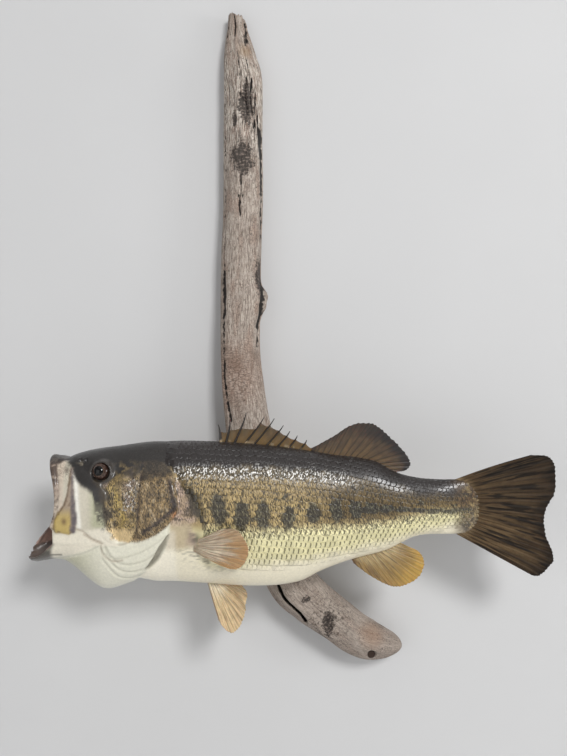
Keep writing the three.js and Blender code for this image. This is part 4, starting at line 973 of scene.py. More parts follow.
# Painted shadow in the carved gill slit behind the membranes.
skin_paint = layer(skin_paint, "slit", 0.9 * slit * (outwards > 0.1))
on_shoulder = skin_masks["body"] * smooth((150 - sx) / 12) * smooth((sz + 8) / 10) * smooth((44 - sz) / 6)
covered = skin_masks["cover"] * smooth((42 - sz) / 10) * (1 - 0.85 * peach_corner(sx, sz))
grain = np.maximum.reduce([covered, 0.8 * on_shoulder,
                           behind_front * skin_masks["mouth skin"] * (1 - shade), 0.3 * skin_masks["lid"]])
grain = np.maximum(grain, (0.35 + 0.4 * smooth((sx - 80) / 25)) * smooth((sz - 30) / 10))
tail_end = skin_masks["body"] * smooth((sx - 385) / 12)
bass = new_mesh("bass_skin", hang(skin_points), skin_faces,
                {"paint": skin_paint, "grain": np.maximum(grain, 0.8 * tail_end)})
if outward < 0:
    bass.data.flip_normals()
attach(bass, "root")
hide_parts("head", "trunk", "tail_stock", "gill_cover_left", "gill_cover_right", "throat",
            "lower_jaw", "upper_lip", "maxilla_left", "maxilla_right", "mouth_skin_left",
            "mouth_skin_right")

# %% [markdown]
# Scales. Rows of scales run along the body, each row half a scale out of step with the next, and the rows
# draw together towards the tail. To lay them, the body's surface is measured once into a table: distance
# along the body one way, distance round the section from the lateral line the other. A scale drawn flat
# in those two distances can then be read onto the curved body, corner by corner.

# %% A table of the body's surface
LATERAL = {"x": [104, 120, 200, 260, 320, 370, 408], "z": [36, 34, 30, 22, 12, 5, 3.5]}
TABLE_X = np.linspace(92, 404, 320)
SHARES = np.linspace(-1.06, 1.06, 240)


def surface_table():
    """For each x, points and normals at equal shares of the arc from the lateral line to back or keel."""
    angle = np.linspace(-np.pi / 2 - 0.5, np.pi / 2 + 0.5, 500)
    x, a = lattice(TABLE_X, angle)
    ring = body_point(x, a)
    step = np.linalg.norm(np.diff(ring, axis=1), axis=-1)
    arc = np.concatenate([np.zeros((len(x), 1)), np.cumsum(step, 1)], 1)
    height = np.interp(TABLE_X, LATERAL["x"], LATERAL["z"])
    upper, lower = np.searchsorted(angle, np.pi / 2), np.searchsorted(angle, -np.pi / 2)
    points, lengths = [], []
    for i, row in enumerate(ring):
        zero = np.interp(height[i], row[lower:upper, 2], arc[i, lower:upper])
        up, down = arc[i, upper] - zero, zero - arc[i, lower]
        at = zero + SHARES * np.where(SHARES > 0, up, down)
        points.append(np.stack([np.interp(at, arc[i], row[:, k]) for k in range(3)], -1))
        lengths.append((up, down))
    points = np.array(points)
    normals = unit(np.cross(np.gradient(points, axis=0), np.gradient(points, axis=1)))
    normals *= np.sign(normals[len(TABLE_X) // 2, len(SHARES) // 2, 1])
    return points, normals, np.array(lengths)


surface, surface_normals, arc_lengths = surface_table()


def on_body(x, arc):
    """Point, normal and share at x and a signed arc distance, read between the table's entries."""
    i = np.clip((x - TABLE_X[0]) / (TABLE_X[1] - TABLE_X[0]), 0, len(TABLE_X) - 1.001)
    up, down = (np.interp(x, TABLE_X, arc_lengths[:, k]) for k in (0, 1))
    share = np.clip(np.where(arc > 0, arc / up, arc / down), SHARES[0], SHARES[-1])
    j = np.clip((share - SHARES[0]) / (SHARES[1] - SHARES[0]), 0, len(SHARES) - 1.001)
    i0, j0 = i.astype(int), j.astype(int)
    fi, fj = (i - i0)[..., None], (j - j0)[..., None]

    def read(table):
        return ((1 - fi) * (1 - fj) * table[i0, j0] + fi * (1 - fj) * table[i0 + 1, j0]
                + (1 - fi) * fj * table[i0, j0 + 1] + fi * fj * table[i0 + 1, j0 + 1])
    return read(surface), read(surface_normals), share


print("girth at the shoulder:", round(float(2 * arc_lengths[60].sum())), "mm")

# %% [markdown]
# One scale is a small closed plate of four by five points above and the same below: square at its root,
# round at its free end, low at the root so that the scale in front can lie over it. The whole coat is that
# one array, moved, sized and turned for every scale at once.

# %% One scale, and a coat of them
PLATE_ALONG = np.array([0.0, 0.5, 0.86, 1.0])
PLATE_ACROSS = np.array([-1.0, -0.62, 0.0, 0.62, 1.0])
PLATE_ROOT, PLATE_END, PLATE_THICK = -0.7, -0.1, 0.26
PLATE_MIDDLE = 12  # the template's point that the colours of a scale are drawn towards
PATCH = 0.003  # size of one scale in the coat's own unwrap
UNWRAP_FROM, UNWRAP_LENGTH, UNWRAP_HEIGHT = -25, 510, 180  # the part of the fish that the unwrap spans


def plate_template():
    """A scale's upper points as along, across and height, all its faces, and the upper points' plan."""
    along, across = lattice(PLATE_ALONG, PLATE_ACROSS)
    reach = along * (1 - 0.26 * across**2 * along)
    width = across * (1 - 0.3 * smooth((along - 0.5) / 0.5) * np.abs(across))
    height = lerp(PLATE_ROOT, PLATE_END, along) - 0.16 * across**2 * along
    top = np.stack([reach, width, height], -1)
    _, faces = slab(top, top - [0, 0, PLATE_THICK])
    return top.reshape(-1, 3), faces, np.stack([along, across], -1).reshape(-1, 2)


def coat_mesh(name, place, roots, lengths, widths, marks, unwrap, side, relief, risen):
    """All scales of one coat, put where place(along, across) says.

    A relief of 0 lays a scale flat, and a risen of 0 leaves it under the skin.
    """
    template, faces, plan = plate_template()
    rng = np.random.default_rng(7 if side > 0 else 8)
    n = len(roots)
    size = 1 + 0.05 * rng.standard_normal(n)
    tilt = 0.05 * rng.standard_normal(n)
    along = roots[:, :1] + template[:, 0] * (lengths * size)[:, None]
    across = roots[:, 1:] + (template[:, 1] + tilt[:, None] * template[:, 0]) * (widths * size)[:, None]
    point, normal = place(along, across)
    middle_height = (PLATE_ROOT + PLATE_END) / 2
    lift = middle_height + (template[:, 2] - middle_height) * relief[:, None] - 1.1 * (1 - risen)[:, None]
    lift = lift + 0.06 * rng.standard_normal(n)[:, None] * template[:, 0]
    top = point + normal * lift[..., None]
    bottom = top - normal * PLATE_THICK * (0.15 + 0.85 * plan[:, :1])
    points = np.concatenate([top, bottom], 1).reshape(-1, 3)
    index = (faces[None] + np.arange(n)[:, None, None] * 2 * len(template)).reshape(-1, 4)
    if side < 0:
        points, index = points * [1, -1, 1], index[:, ::-1]

    def both(values):
        return np.concatenate([values, values], 1).reshape(-1, *values.shape[2:])
    random = np.broadcast_to(rng.random(n)[:, None], along.shape)
    plate = both(np.stack([np.broadcast_to(plan[:, 0], along.shape),
                           np.broadcast_to(plan[:, 1], along.shape), random], -1))
    middle = np.broadcast_to(point[:, PLATE_MIDDLE:PLATE_MIDDLE + 1], point.shape)
    mixed = both(0.6 * point + 0.4 * middle)
    colour, fields = marks(mixed)
    piece = new_mesh(name, hang(points), index, {
        "paint": colour, "plate": plate, "marks": fields[:, :3], "silver_and_painted_sheen": fields[:, 3]})
    centre = unwrap(roots)
    corner = both(centre[:, None] + PATCH * (plan - [0.5, 0]) * [1, 0.5])
    layer_uv = piece.data.uv_layers.new(name="OFBake")
    layer_uv.data.foreach_set("uv", corner[index.ravel()].astype(np.float32).ravel())
    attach(piece, "root")
    return piece


# %% [markdown]
# The lattice of the body's coat: scales stand 4.5 mm apart in a row all along the fish, while the rows
# stand about 6.5 mm apart on the front half and only 3.3 mm apart at the tail.

# %% Body coat
SPACING = 4.5
ROW_AT, ROW_HEIGHT = [104, 200, 250, 300, 340, 370, 408], [6.3, 6.5, 6.2, 4.9, 3.9, 3.5, 3.2]
COAT_START, COAT_END = 106, 390


def bare_edge(z):
    """The x at each height where the shoulder ends and scales begin."""
    return np.interp(z, [-70, -40, -28, -14, 8, 22, 34, 44, 52],
                     [174, 160, 148, 141, 135, 129, 119, 111, 104])


def body_marks(points):
    """Paint; strength of dash, streaks, blotch, and silver and painted sheen: dashes low, streaks above."""
    x, z = points[:, 0], points[:, 2]
    flank, belly, back = (np.interp(x, TONES_AT, h) for h in (FLANK_EDGE, BELLY_EDGE, BACK_EDGE))
    dash = smooth((flank + 10 - z) / 8) * smooth((z - belly) / 12) * smooth((x - 138) / 16)
    streak = smooth((z - flank + 5) / 9) * lerp(1, 0.4, smooth((z - back) / 8))
    begun = smooth((x - bare_edge(z) - 5) / 10)
    marks = [dash, streak * begun, blotch_field(x, z) * smooth((x - bare_edge(z)) / 5), silver_and_sheen_band(x, z)]
    return body_paint(x, z, False), np.stack(marks, -1)


def body_coat(side):
    """Scales in offset rows, without those that would lie on the shoulder or belly or past the back."""
    columns = np.arange(COAT_START, COAT_END, SPACING / 2)
    rows = np.arange(-22, 16)
    x, row = lattice(columns, rows)
    keep = (np.arange(len(columns))[:, None] + rows) % 2 == 0
    height = np.interp(x, ROW_AT, ROW_HEIGHT)
    arc = row * height
    up, down = (np.interp(x, TABLE_X, arc_lengths[:, k]) for k in (0, 1))
    keep &= (arc < up + 0.3 * height) & (arc > -down - 0.3 * height)
    z = on_body(x, arc)[0][..., 2]
    bare = bare_edge(z)
    jitter = np.random.default_rng(6).uniform(0, 1, x.shape)
    keep &= (x > bare + 5 * jitter) & (z > np.interp(x, TONES_AT, BELLY_EDGE) - 5)
    roots = np.stack([x, arc], -1)[keep]
    height = height[keep]
    low = (z - np.interp(x, TONES_AT, BELLY_EDGE) + 5) / 16 + 0.25 * (jitter - 0.5)
    edges = [(x - bare)[keep] / 14 + 0.15, (398 - x[keep]) / 14, low[keep]]
    flat_back = 0.55 * smooth((z - np.interp(x, TONES_AT, BACK_EDGE) - 2) / 6)[keep]

    def place(along, across):
        point, normal, _ = on_body(along, across)
        return point, normal

    def unwrap(at):
        share = on_body(at[:, 0], at[:, 1])[2]
        return np.stack([(at[:, 0] - UNWRAP_FROM) / UNWRAP_LENGTH, 0.5 + 0.45 * share], -1)
    return coat_mesh(f"body_scales_{'right' if side > 0 else 'left'}", place, roots,
                     np.full(len(roots), SPACING * 2.1), height * 0.66, body_marks, unwrap, side,
                     1 - flat_back, smooth(np.minimum.reduce(edges)))


coats = [body_coat(-1), body_coat(1)]
print("scales on one side:", len(coats[0].data.polygons) // len(plate_template()[1]))

# %% [markdown]
# Cheek and gill cover carry scales of their own, smaller on the cheek, drawn straight onto the shield.

# %% Head coat
HEAD_REGIONS = [  # spacing, row height, outline of the region in side view
    (2.7, 3.0, [[60, 4], [66, 22], [76, 36], [88, 40], [90, 26], [87, 6], [80, -6], [70, -8], [61, -4]]),
    (3.9, 4.3, [[95, 42], [104, 40], [112, 32], [117, 18], [116, 6], [106, -4], [94, -13], [91, -10],
                [94, 10], [95, 26]]),
]


def inside(outline, x, z):
    """True where a point lies in a closed outline: the number of edges to its right is odd."""
    corners = np.array(outline, float)
    odd = np.zeros(x.shape, bool)
    for (ax, az), (bx, bz) in zip(corners, np.roll(corners, -1, 0)):
        crosses = (az > z) != (bz > z)
        reach = ax + (z - az) * (bx - ax) / np.where(bz == az, 1e-9, bz - az)
        odd ^= crosses & (x < reach)
    return odd


def on_cover(x, z):
    """Point and normal of the shield's outer face."""
    def face(u, v):
        return cover_half(u, v) + cover_relief(u, v)
    y = face(x, z)
    slope_x, slope_z = (face(x + 0.2, z) - y) / 0.2, (face(x, z + 0.2) - y) / 0.2
    normal = np.stack([-slope_x, np.ones_like(y), -slope_z], -1)
    return np.stack([x, y, z], -1), unit(normal)


def head_marks(points):
    """The shield's paint; streaks all over, and painted glints in front of the preopercle."""
    x, z = points[:, 0], points[:, 2]
    silver_and_painted_sheen = dent(x - preopercle_x(z) + 7, 5) * smooth((z - 4) / 8) * smooth((44 - z) / 6)
    return cover_paint(x, z), np.stack([0 * x, 1 - 0.85 * peach_corner(x, z), 0 * x, 0.55 * silver_and_painted_sheen], -1)


def head_coat(side):
    """Offset rows of scales in each region of the shield."""
    roots, lengths, widths = [], [], []
    for spacing, height, outline in HEAD_REGIONS:
        x, z = lattice(np.arange(50, 128, spacing / 2), np.arange(-20, 50, height))
        odd = (np.arange(x.shape[0])[:, None] + np.arange(x.shape[1])) % 2 == 0
        chosen = odd & inside(outline, x, z)
        roots.append(np.stack([x, z], -1)[chosen])
        lengths.append(np.full(chosen.sum(), spacing * 2.0))
        widths.append(np.full(chosen.sum(), height * 0.66))

    def unwrap(at):
        return np.stack([(at[:, 0] - UNWRAP_FROM) / UNWRAP_LENGTH, 0.5 + at[:, 1] / UNWRAP_HEIGHT], -1)

    def place(along, across):
        point, normal = on_cover(along, across)
        return point + 0.35 * normal, normal
    count = sum(len(group) for group in roots)
    return coat_mesh(f"head_scales_{'right' if side > 0 else 'left'}", place, np.concatenate(roots),
                     np.concatenate(lengths), np.concatenate(widths), head_marks, unwrap, side,
                     np.ones(count), np.ones(count))


coats += [head_coat(-1), head_coat(1)]

# %% [markdown]
# Fins are thin skins stretched over bony rays. Each fin is a closed sheet between a base curve and a tip
# curve in side view; the sheet swells over every ray, and soft rays fork towards the edge. The distance
# from the nearest ray and the shares of the way along and across the fin are kept for the paint.

# %% Fin sheets
FIN_ROOT = 3.0  # how deep a fin starts inside the body


def ray_pattern(u, v, rays, fork=0.45):
    """Distance to the nearest ray, 0 on it and 1 midway; past the fork each ray becomes two."""
    single = np.abs(np.sin(np.pi * rays * u))
    double = np.abs(np.sin(2 * np.pi * rays * u))
    return lerp(single, double, smooth((v - fork) / 0.2))


def fin_sheet(name, base, tip, rays, lean, paint, root=1.5, edge=0.5, fork=0.45, bow=0.0, ragged=0.8,
              turn=None, seed=0, columns=9, rows=42):
    """A closed sheet between the base and tip curves; y follows lean(u, v) and the thickness the rays."""
    u, v = lattice(shares(rays * columns + 1), shares(rows))
    lower, upper = base(u), tip(u)
    along = upper - lower
    length = np.linalg.norm(along, axis=-1, keepdims=True)
    pattern = ray_pattern(u, v, rays, fork)
    notch = (ragged * (pattern + 0.8 * noise(np.stack([u * rays * 2.3, 0 * v], -1), 1, seed))
             * smooth((v - 0.9) / 0.1))
    side_view = lower + along * v[..., None] * (1 - notch[..., None] / length)
    side_view[..., 1] += bow * (1 - u) ** 2 * np.sin(np.pi * v)
    wave = (0.45 * np.sin(2 * np.pi * (rays * u + 0.12)) * smooth(v * 2)
            + 1.2 * layered(np.stack([u * 4, v * 1.5], -1), 1, seed=seed + 3) * smooth(v * 1.5))
    taper = smooth(np.minimum(u, 1 - u) * rays * 1.2 + 0.25)
    thick = lerp(root, edge, v**0.7) * (0.42 + 0.58 * (1 - pattern) ** 1.5) * taper
    y = lean(u, v) + wave * 0.6
    front = np.stack([side_view[..., 0], y + thick / 2, side_view[..., 1]], -1)
    back = np.stack([side_view[..., 0], y - thick / 2, side_view[..., 1]], -1)
    points, faces = slab(front, back)
    if turn is not None:
        points = turn(points)
    flat = np.stack([pattern, v, u], -1).reshape(-1, 3)
    both = np.concatenate([flat, flat])
    colour = paint(both[:, 2], both[:, 1])
    piece = new_mesh(f"{name}_rayed", hang(points), faces, {"paint": colour, "fin": both}, turn=True)
    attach(piece, "root")
    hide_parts(name)
    return piece


def upright(u, v):
    """A fin that stands in the middle plane of the fish."""
    return 0 * u


# %% [markdown]
# Fin colours run along and across the rays: streaks drawn out along them, dark or golden edges, pale roots.

# %% Paint of the fins
PAINT.update({name: srgb(code) for name, code in {
    "dorsal": "433321", "dorsal edge": "1a1512", "dorsal root": "59452a", "tail": "30251a",
    "tail ray": "120e0b", "tail fin root": "4a3a27", "tail warm": "5c4a33", "anal": "8a7040",
    "anal root": "a8946c", "anal edge": "ae8c3e", "pelvic": "cbb288", "pelvic root": "e0d3b8",
    "pectoral": "ac9b84", "pectoral tip": "a07c4e", "spine": "1c150f", "web": "80622f",
    "web edge": "5f4a2a", "pale root": "b09a78", "front edge": "4e3a24",
}.items()})


def streaky(u, v, seed, count=26):
    """Noise drawn out along the rays, from -1 to 1."""
    return layered(np.stack([u * count, v * 3], -1), 1, seed=seed)


def dorsal_paint(u, v):
    """Brown sheet with fine pale lines, darker towards a broad black edge."""
    colour = layer("dorsal root", "dorsal", smooth(v * 2 + 0.4 * streaky(u, v, 61)))
    colour = layer(colour, "dorsal root",
                   0.8 * smooth(streaky(u, v, 63, 60) / 0.4) * smooth((0.7 - v) / 0.3))
    edge = smooth((v - 0.62 + 0.2 * streaky(u, v, 62)) / 0.25)
    return layer(colour, "dorsal edge", np.maximum(edge * lerp(0.6, 1, smooth((u - 0.3) / 0.3)),
                                                   0.9 * smooth((0.06 - u) / 0.05)))


def tail_paint(u, v):
    """Near black, warmer at the root and in the lower lobe."""
    colour = layer("tail fin root", "tail", smooth((v - 0.08) * 2.6 + 0.4 * streaky(u, v, 64)))
    colour = layer(colour, "pale root", 0.35 * smooth((0.14 - v) / 0.1)
                   * smooth((np.abs(u - 0.5) - 0.2) / 0.2))
    warm = lerp(0.35, 0.9, smooth((u - 0.3) / 0.4)) * smooth((streaky(u, v, 65, 40) + 0.3) / 0.6)
    colour = layer(colour, "tail warm", warm * smooth((1.05 - v) / 0.5))
    colour = layer(colour, "tail ray", 0.85 * smooth((streaky(u, v, 74, 46) - 0.08) / 0.25) * smooth(v * 4))
    return layer(colour, "tail ray", 0.6 * smooth((v - 0.84 + 0.2 * streaky(u, v, 66)) / 0.15))


def anal_paint(u, v):
    """Pale root, olive brown sheet, golden rear edge and a dark front edge."""
    colour = layer("anal root", "anal", smooth(v * 1.8 + 0.4 * streaky(u, v, 67)))
    golden = smooth((v - 0.45) / 0.5) * smooth((u - 0.25) / 0.4)
    colour = layer(colour, "anal edge", 0.9 * golden)
    colour = layer(colour, "front edge", 0.45 * smooth(streaky(u, v, 68, 50) / 0.3) * (1 - golden))
    return layer(colour, "front edge", 0.8 * smooth((0.07 - u) / 0.05))


def pelvic_paint(u, v):
    """Tan, paler at the root."""
    colour = layer("pelvic root", "pelvic", smooth(v * 2.2 + 0.3 * streaky(u, v, 69)))
    colour = layer(colour, "front edge", 0.4 * smooth(streaky(u, v, 70, 40) / 0.3))
    return layer(colour, "front edge", 0.75 * smooth((0.1 - u) / 0.06))


def pectoral_paint(u, v):
    """Beige sheet with an orange outer end."""
    colour = layer("pectoral", "pelvic root", 0.4 * smooth(streaky(u, v, 71) / 0.4))
    colour = layer(colour, "front edge", 0.45 * smooth((streaky(u, v, 73, 50) - 0.05) / 0.25))
    return layer(colour, "pectoral tip",
                 0.9 * smooth((v - 0.5 + 0.3 * streaky(u, v, 72)) / 0.35) * smooth((u + 0.1) / 0.5))


# %% [markdown]
# The fins' outlines in side view. Each has a tip curve and a base, which follows the back or the keel on the
# fins that stand there.

# %% Outlines of the fins
def body_edge(which, start, end, sink):
    """Base curve of a fin that stands on the back or the keel, sunk a little into the body."""
    def base(u):
        x = lerp(start, end, u)
        return np.stack([x, section(x)[which] - sink], -1)
    return base


def curve(points):
    """A smooth curve through points as a function of u."""
    return lambda u: through(points, u)


SOFT_DORSAL_TIP = [[247.1, 59.8], [256.9, 65], [265.7, 70], [275.1, 76], [283.2, 81.4], [291.9, 84.2],
                   [301.9, 84.3], [308.6, 82.4], [315, 77.7], [321.4, 71.3], [329, 64.4], [335.3, 56.9],
                   [340.4, 49.2], [341, 44.4], [337.8, 39.8], [332.9, 38.2]]
ANAL_TIP = [[288.5, -51.6], [301.8, -61.6], [317.3, -70.2], [327.5, -73.4], [338.5, -71.2], [350.6, -62.4],
            [355.2, -49.4], [350.4, -38.8], [339.4, -33.4]]
TAIL_BASE = [[380, 30.6], [390, 25], [396, 15], [398, 4], [396, -7], [391, -16], [384, -20.6]]
TAIL_TIP = [[452, 55.2], [463.7, 55], [469.5, 53.2], [473.4, 49], [475.2, 43], [475.8, 35], [476, 26],
            [474.8, 17.4], [471.2, 11.4], [468, 5.5], [466.5, -1.3], [466.2, -7.7], [466.8, -15],
            [468.2, -22.3], [471, -28.7], [473.8, -35.1], [475.6, -40.6], [475.6, -45.6], [473, -50],
            [468.6, -55.2], [464.8, -59], [460.8, -60.7], [456, -60]]
PELVIC_BASE = [[149, -68], [163, -68.5]]
PELVIC_TIP = [[160.5, -102.5], [166.5, -110.6], [172.6, -114.2], [178.2, -111], [182.6, -104], [185.6, -95],
              [186.2, -87], [178.6, -76.4]]
PECTORAL_BASE = [[140, -20], [139.4, -29.5]]
PECTORAL_TIP = [[167.5, -4.6], [180, -6], [188.6, -17.6], [190.8, -26], [187, -37.4], [177.8, -42.8],
                [164, -39]]
# %% [markdown]
# The fins themselves. Those in the middle plane stand upright. The paired ones leave the body sideways, and
# the far pectoral fin is turned to another angle than the near one.

# %% Build the fins
PECTORAL_OUT, PECTORAL_FAR_TURN = 10, math.radians(-34)
PELVIC_IN, PELVIC_OUT = 7, 10

dark_fins = [
    fin_sheet("dorsal_fin_soft", body_edge(0, 247, 322, FIN_ROOT), curve(SOFT_DORSAL_TIP), 15, upright,
              dorsal_paint, root=2.2, edge=0.7, seed=81),
    fin_sheet("tail_fin", curve(TAIL_BASE), curve(TAIL_TIP), 20, upright, tail_paint,
              root=2.6, edge=0.6, bow=1.2, fork=0.35, seed=82),
]
pale_fins = [
    fin_sheet("anal_fin", body_edge(1, 285, 330, -FIN_ROOT), curve(ANAL_TIP), 15, upright, anal_paint,
              root=2.2, edge=0.7, seed=83),
]
for word, side in (("left", -1), ("right", 1)):
    root = np.array([PECTORAL_BASE[0][0], 0, PECTORAL_BASE[0][1] - 5])
    start = float(body_half(root[0], root[2])) - 1.5
    out = PECTORAL_OUT * (0.4 if side > 0 else 1)
    angle = PECTORAL_FAR_TURN if side > 0 else 0.0

    def pectoral_lean(u, v, side=side, start=start, out=out):
        """Leaves the body sideways, then trails back along it."""
        return side * (start + 3.4 * smooth(v * 2.4) + out * v**1.4 - 2 * u * v)

    def pectoral_turn(points, angle=angle, root=root):
        """A turn about y at the fin's root."""
        x, z = points[:, 0] - root[0], points[:, 2] - root[2]
        c, s = math.cos(angle), math.sin(angle)
        return np.stack([root[0] + c * x - s * z, points[:, 1], root[2] + s * x + c * z], -1)

    def pelvic_lean(u, v, side=side):
        """Spreads outwards from the belly."""
        return side * (PELVIC_IN + PELVIC_OUT * v + 2 * u * v)

    pale_fins.append(fin_sheet(f"pectoral_fin_{word}", curve(PECTORAL_BASE), curve(PECTORAL_TIP), 13,
                               pectoral_lean, pectoral_paint, root=2.2, edge=0.5, turn=pectoral_turn,
                               seed=84, rows=40))
    pale_fins.append(fin_sheet(f"pelvic_fin_{word}", curve(PELVIC_BASE), curve(PELVIC_TIP), 9, pelvic_lean,
                               pelvic_paint, root=2.4, edge=0.6, seed=85, rows=40))

# %% [markdown]
# The front dorsal fin is different: nine stiff spines, each a tapering round bar with a sharp point, and
# between them a thin web that leaves their tips bare.

# %% Spiny dorsal fin
SPINES = [  # base x, tip x, tip z
    (162.4, 159.8, 81.8), (166.8, 171, 86.4), (174.4, 186.3, 93.2), (183.4, 203.2, 89),
    (192.2, 212.8, 87.6),
    (203.6, 221.4, 81.2), (214.2, 227.4, 75.6), (224.6, 234.4, 71.4), (235, 243.2, 67.2),
]
WEB_END = (246, 250, 62)
SPINE_RADIUS, SPINE_POINT = 1.55, 0.36
# The share of each spine's length where its web leaves it, and where that web meets the next spine.
WEB_REAR = [0.7, 0.6, 0.54, 0.82, 0.76, 0.76, 0.76, 0.78, 0.8]
WEB_FRONT = [0.5, 0.52, 0.6, 0.72, 0.76, 0.74, 0.72, 0.7, 0.6]


def foot_on_back(x):
    """Where a spine that leaves the back at x begins, inside the body."""
    return np.array([x, float(section(np.array(float(x)))[0]) - FIN_ROOT])


def spine_form(base, tip_x, tip_z, bend=1.6):
    """A round bar from inside the back to the tip, thinning to a point and bowed a little to the rear."""
    t = shares(16)[:, None]
    line = (lerp(foot_on_back(base), np.array([tip_x, tip_z]), t)
            + np.array([bend, 0]) * np.sin(np.pi * t) * t)
    radius = lerp(SPINE_RADIUS, SPINE_POINT, t**1.3)
    turn = turns(10)
    x = line[:, :1] + radius * np.cos(turn)
    return tube(np.stack([x, radius * np.sin(turn) + 0 * x, line[:, 1:] + 0 * x], -1))


def web_form(first, second, rear, front, steps=14, rows=18):
    """The sheet between two spines: it leaves one at a share of its length, sags, and meets the next."""
    def at(spine, share):
        return lerp(foot_on_back(spine[0]), np.array(spine[1:]), share)
    t, v = lattice(shares(steps), shares(rows))
    foot = lerp(at(first, 0), at(second, 0), t[..., None])
    head = lerp(at(first, rear), at(second, front), t[..., None])
    head = head - np.array([0, 1]) * (1.4 * np.sin(np.pi * t) * (1 - 0.5 * t))[..., None]
    flat = lerp(foot, head, v[..., None])
    y = 0.5 * np.sin(2 * np.pi * t) * v
    half = lerp(0.55, 0.22, v)
    return slab(np.stack([flat[..., 0], y + half, flat[..., 1]], -1),
                np.stack([flat[..., 0], y - half, flat[..., 1]], -1))


spine_parts = [spine_form(*spine) for spine in SPINES]
web_parts = [web_form(*pair) for pair in zip(SPINES, SPINES[1:] + [WEB_END], WEB_REAR, WEB_FRONT)]
spiny_points, spiny_faces = joined(spine_parts + web_parts)
is_spine = np.arange(len(spiny_points)) < sum(len(p) for p, _ in spine_parts)
top_of_back = section(spiny_points[:, 0])[0]
rise = np.clip((spiny_points[:, 2] - top_of_back) / 24, 0, 1)
grain = layered(spiny_points * [1, 1, 0.4], 3, seed=91)
spiny_paint = layer(layer("web", "web edge", smooth(rise * 1.4 + 0.5 * grain)), "spine", is_spine * 1.0)
spiny_paint = layer(spiny_paint, "pale root", 0.8 * smooth((0.1 - rise) / 0.05) * smooth(grain / 0.3))
spiny_fields = {"paint": spiny_paint, "fin": np.stack([0.5 * is_spine, rise, 0 * rise], -1)}
spiny = new_mesh("dorsal_fin_spines_and_web", hang(spiny_points), spiny_faces, spiny_fields, turn=True)
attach(spiny, "root")
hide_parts("dorsal_fin_spiny")
dark_fins.append(spiny)

# %% [markdown]
# A glass eye is a ball with a slight bulge over the iris. Pupil, iris and dark rim are rings round the
# ball's outward axis, so the distance from that axis is stored for the paint.

# %% Eyes
BALL_RADIUS = 9.2
PUPIL, IRIS = 4.6, 7.9
BACK_OF_BALL = 20.0  # a ring beyond the iris, for the half that looks inwards


def eye_ball(side, rings=64, sides=72):
    """Ball about the outward axis, raised over the iris, and each point's distance from that axis."""
    centre = np.array([EYE["x"], side * (float(body_half(EYE["x"], EYE["z"])) + EYE["bulge"] - BALL_RADIUS),
                       EYE["z"]])
    _, forward, up, out = eye_frame(side)
    fall, turn = lattice(np.linspace(0.01, np.pi - 0.01, rings), turns(sides))
    radius = BALL_RADIUS - 0.25 + 0.35 * smooth((0.75 - fall) / 0.5)
    spoke = np.cos(turn)[..., None] * forward + np.sin(turn)[..., None] * up
    points = centre + radius[..., None] * (np.cos(fall)[..., None] * out + np.sin(fall)[..., None] * spoke)
    ring = np.where(fall > np.pi / 2, BACK_OF_BALL, BALL_RADIUS * np.sin(fall))
    return tube(points), capped(np.stack([ring, turn, 0 * ring], -1))


eyes = []
for word, side in (("left", -1), ("right", 1)):
    (eye_points, eye_faces), eye_ring = eye_ball(side)
    eye = new_mesh(f"eye_{word}_glass", hang(eye_points), eye_faces, {"ring": eye_ring}, merge=True)
    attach(eye, "root")
    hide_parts(f"eye_{word}")
    eyes.append(eye)

# %% [markdown]
# The tongue is an ellipsoid, grooved along its middle. With it, all pieces that share a material are known.

# %% Tongue
TONGUE = {"from": -4, "to": 34, "half": 11, "z": -36, "rise": 3, "height": 5}


def tongue_form(rows=48, sides=48):
    """An ellipsoid with a groove down its middle and a pointed front."""
    t, turn = lattice(np.linspace(0.01, np.pi - 0.01, rows), turns(sides))
    middle, half_length = (TONGUE["from"] + TONGUE["to"]) / 2, (TONGUE["to"] - TONGUE["from"]) / 2
    x = middle - half_length * np.cos(t)
    width = TONGUE["half"] * np.sin(t) * (0.72 + 0.28 * smooth(t / 1.6))
    y = width * np.cos(turn)
    z = (TONGUE["z"] + TONGUE["rise"] * (x - middle) / (2 * half_length)
         + TONGUE["height"] * np.sin(t) * np.sin(turn))
    groove = 1.1 * dent(y, 1.6) * (np.sin(turn) > 0) * np.sin(t)
    return tube(np.stack([x, y, z - groove], -1))


tongue_points, tongue_faces = tongue_form()
tongue = new_mesh("tongue_shaped", hang(tongue_points), tongue_faces, merge=True)
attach(tongue, "root")
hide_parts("tongue")

# %% [markdown]
# Driftwood is a branch that water has scoured: long grain ridges, cracks that follow the grain, a burl,
# knots, a broken top. It is one tube round a bent centre line, and the ridges are added to its radius by
# rules in two parameters, the distance along it and the angle round it. The back is planed flat against
# the wall, with a pocket for the hanger, and the bass sits in a seat cut to its far flank.

# %% The branch
BRANCH = np.array([  # x, y, z, radius
    [-6.6, -10, 124, 8.6], [-6.6, -10, 101, 9.7], [-6, -10.5, 88, 12], [-3, -11, 64, 16.6],
    [0.2, -12, 40, 19.6], [0.8, -13, -20, 20], [0.8, -14, -82, 20], [-2.4, -18, -184, 20.4],
    [-2.6, -21, -240, 20], [3.2, -24.5, -297, 21.6], [13.5, -27, -358, 24], [30, -26.5, -424, 25],
    [50, -24.5, -470, 24.4], [68, -23.5, -490, 23], [82, -23, -502, 22.2], [97, -22, -513, 21.2],
    [112, -21.5, -524, 20.8], [127, -21, -531, 20], [141, -20.5, -534.4, 16.6], [152, -20.5, -536, 12],
    [159, -20.5, -537, 7], [162, -20.5, -537.4, 2.5],
])
SCREW_HOLE = {"x": 130, "z": -542.4, "radius": 4.1, "bevel": 2.5, "floor": -33.2, "front": -22}
POCKET = {"half": 15.5, "z": 24, "tall": 5.5, "floor": -3}  # in the back, for the hanger
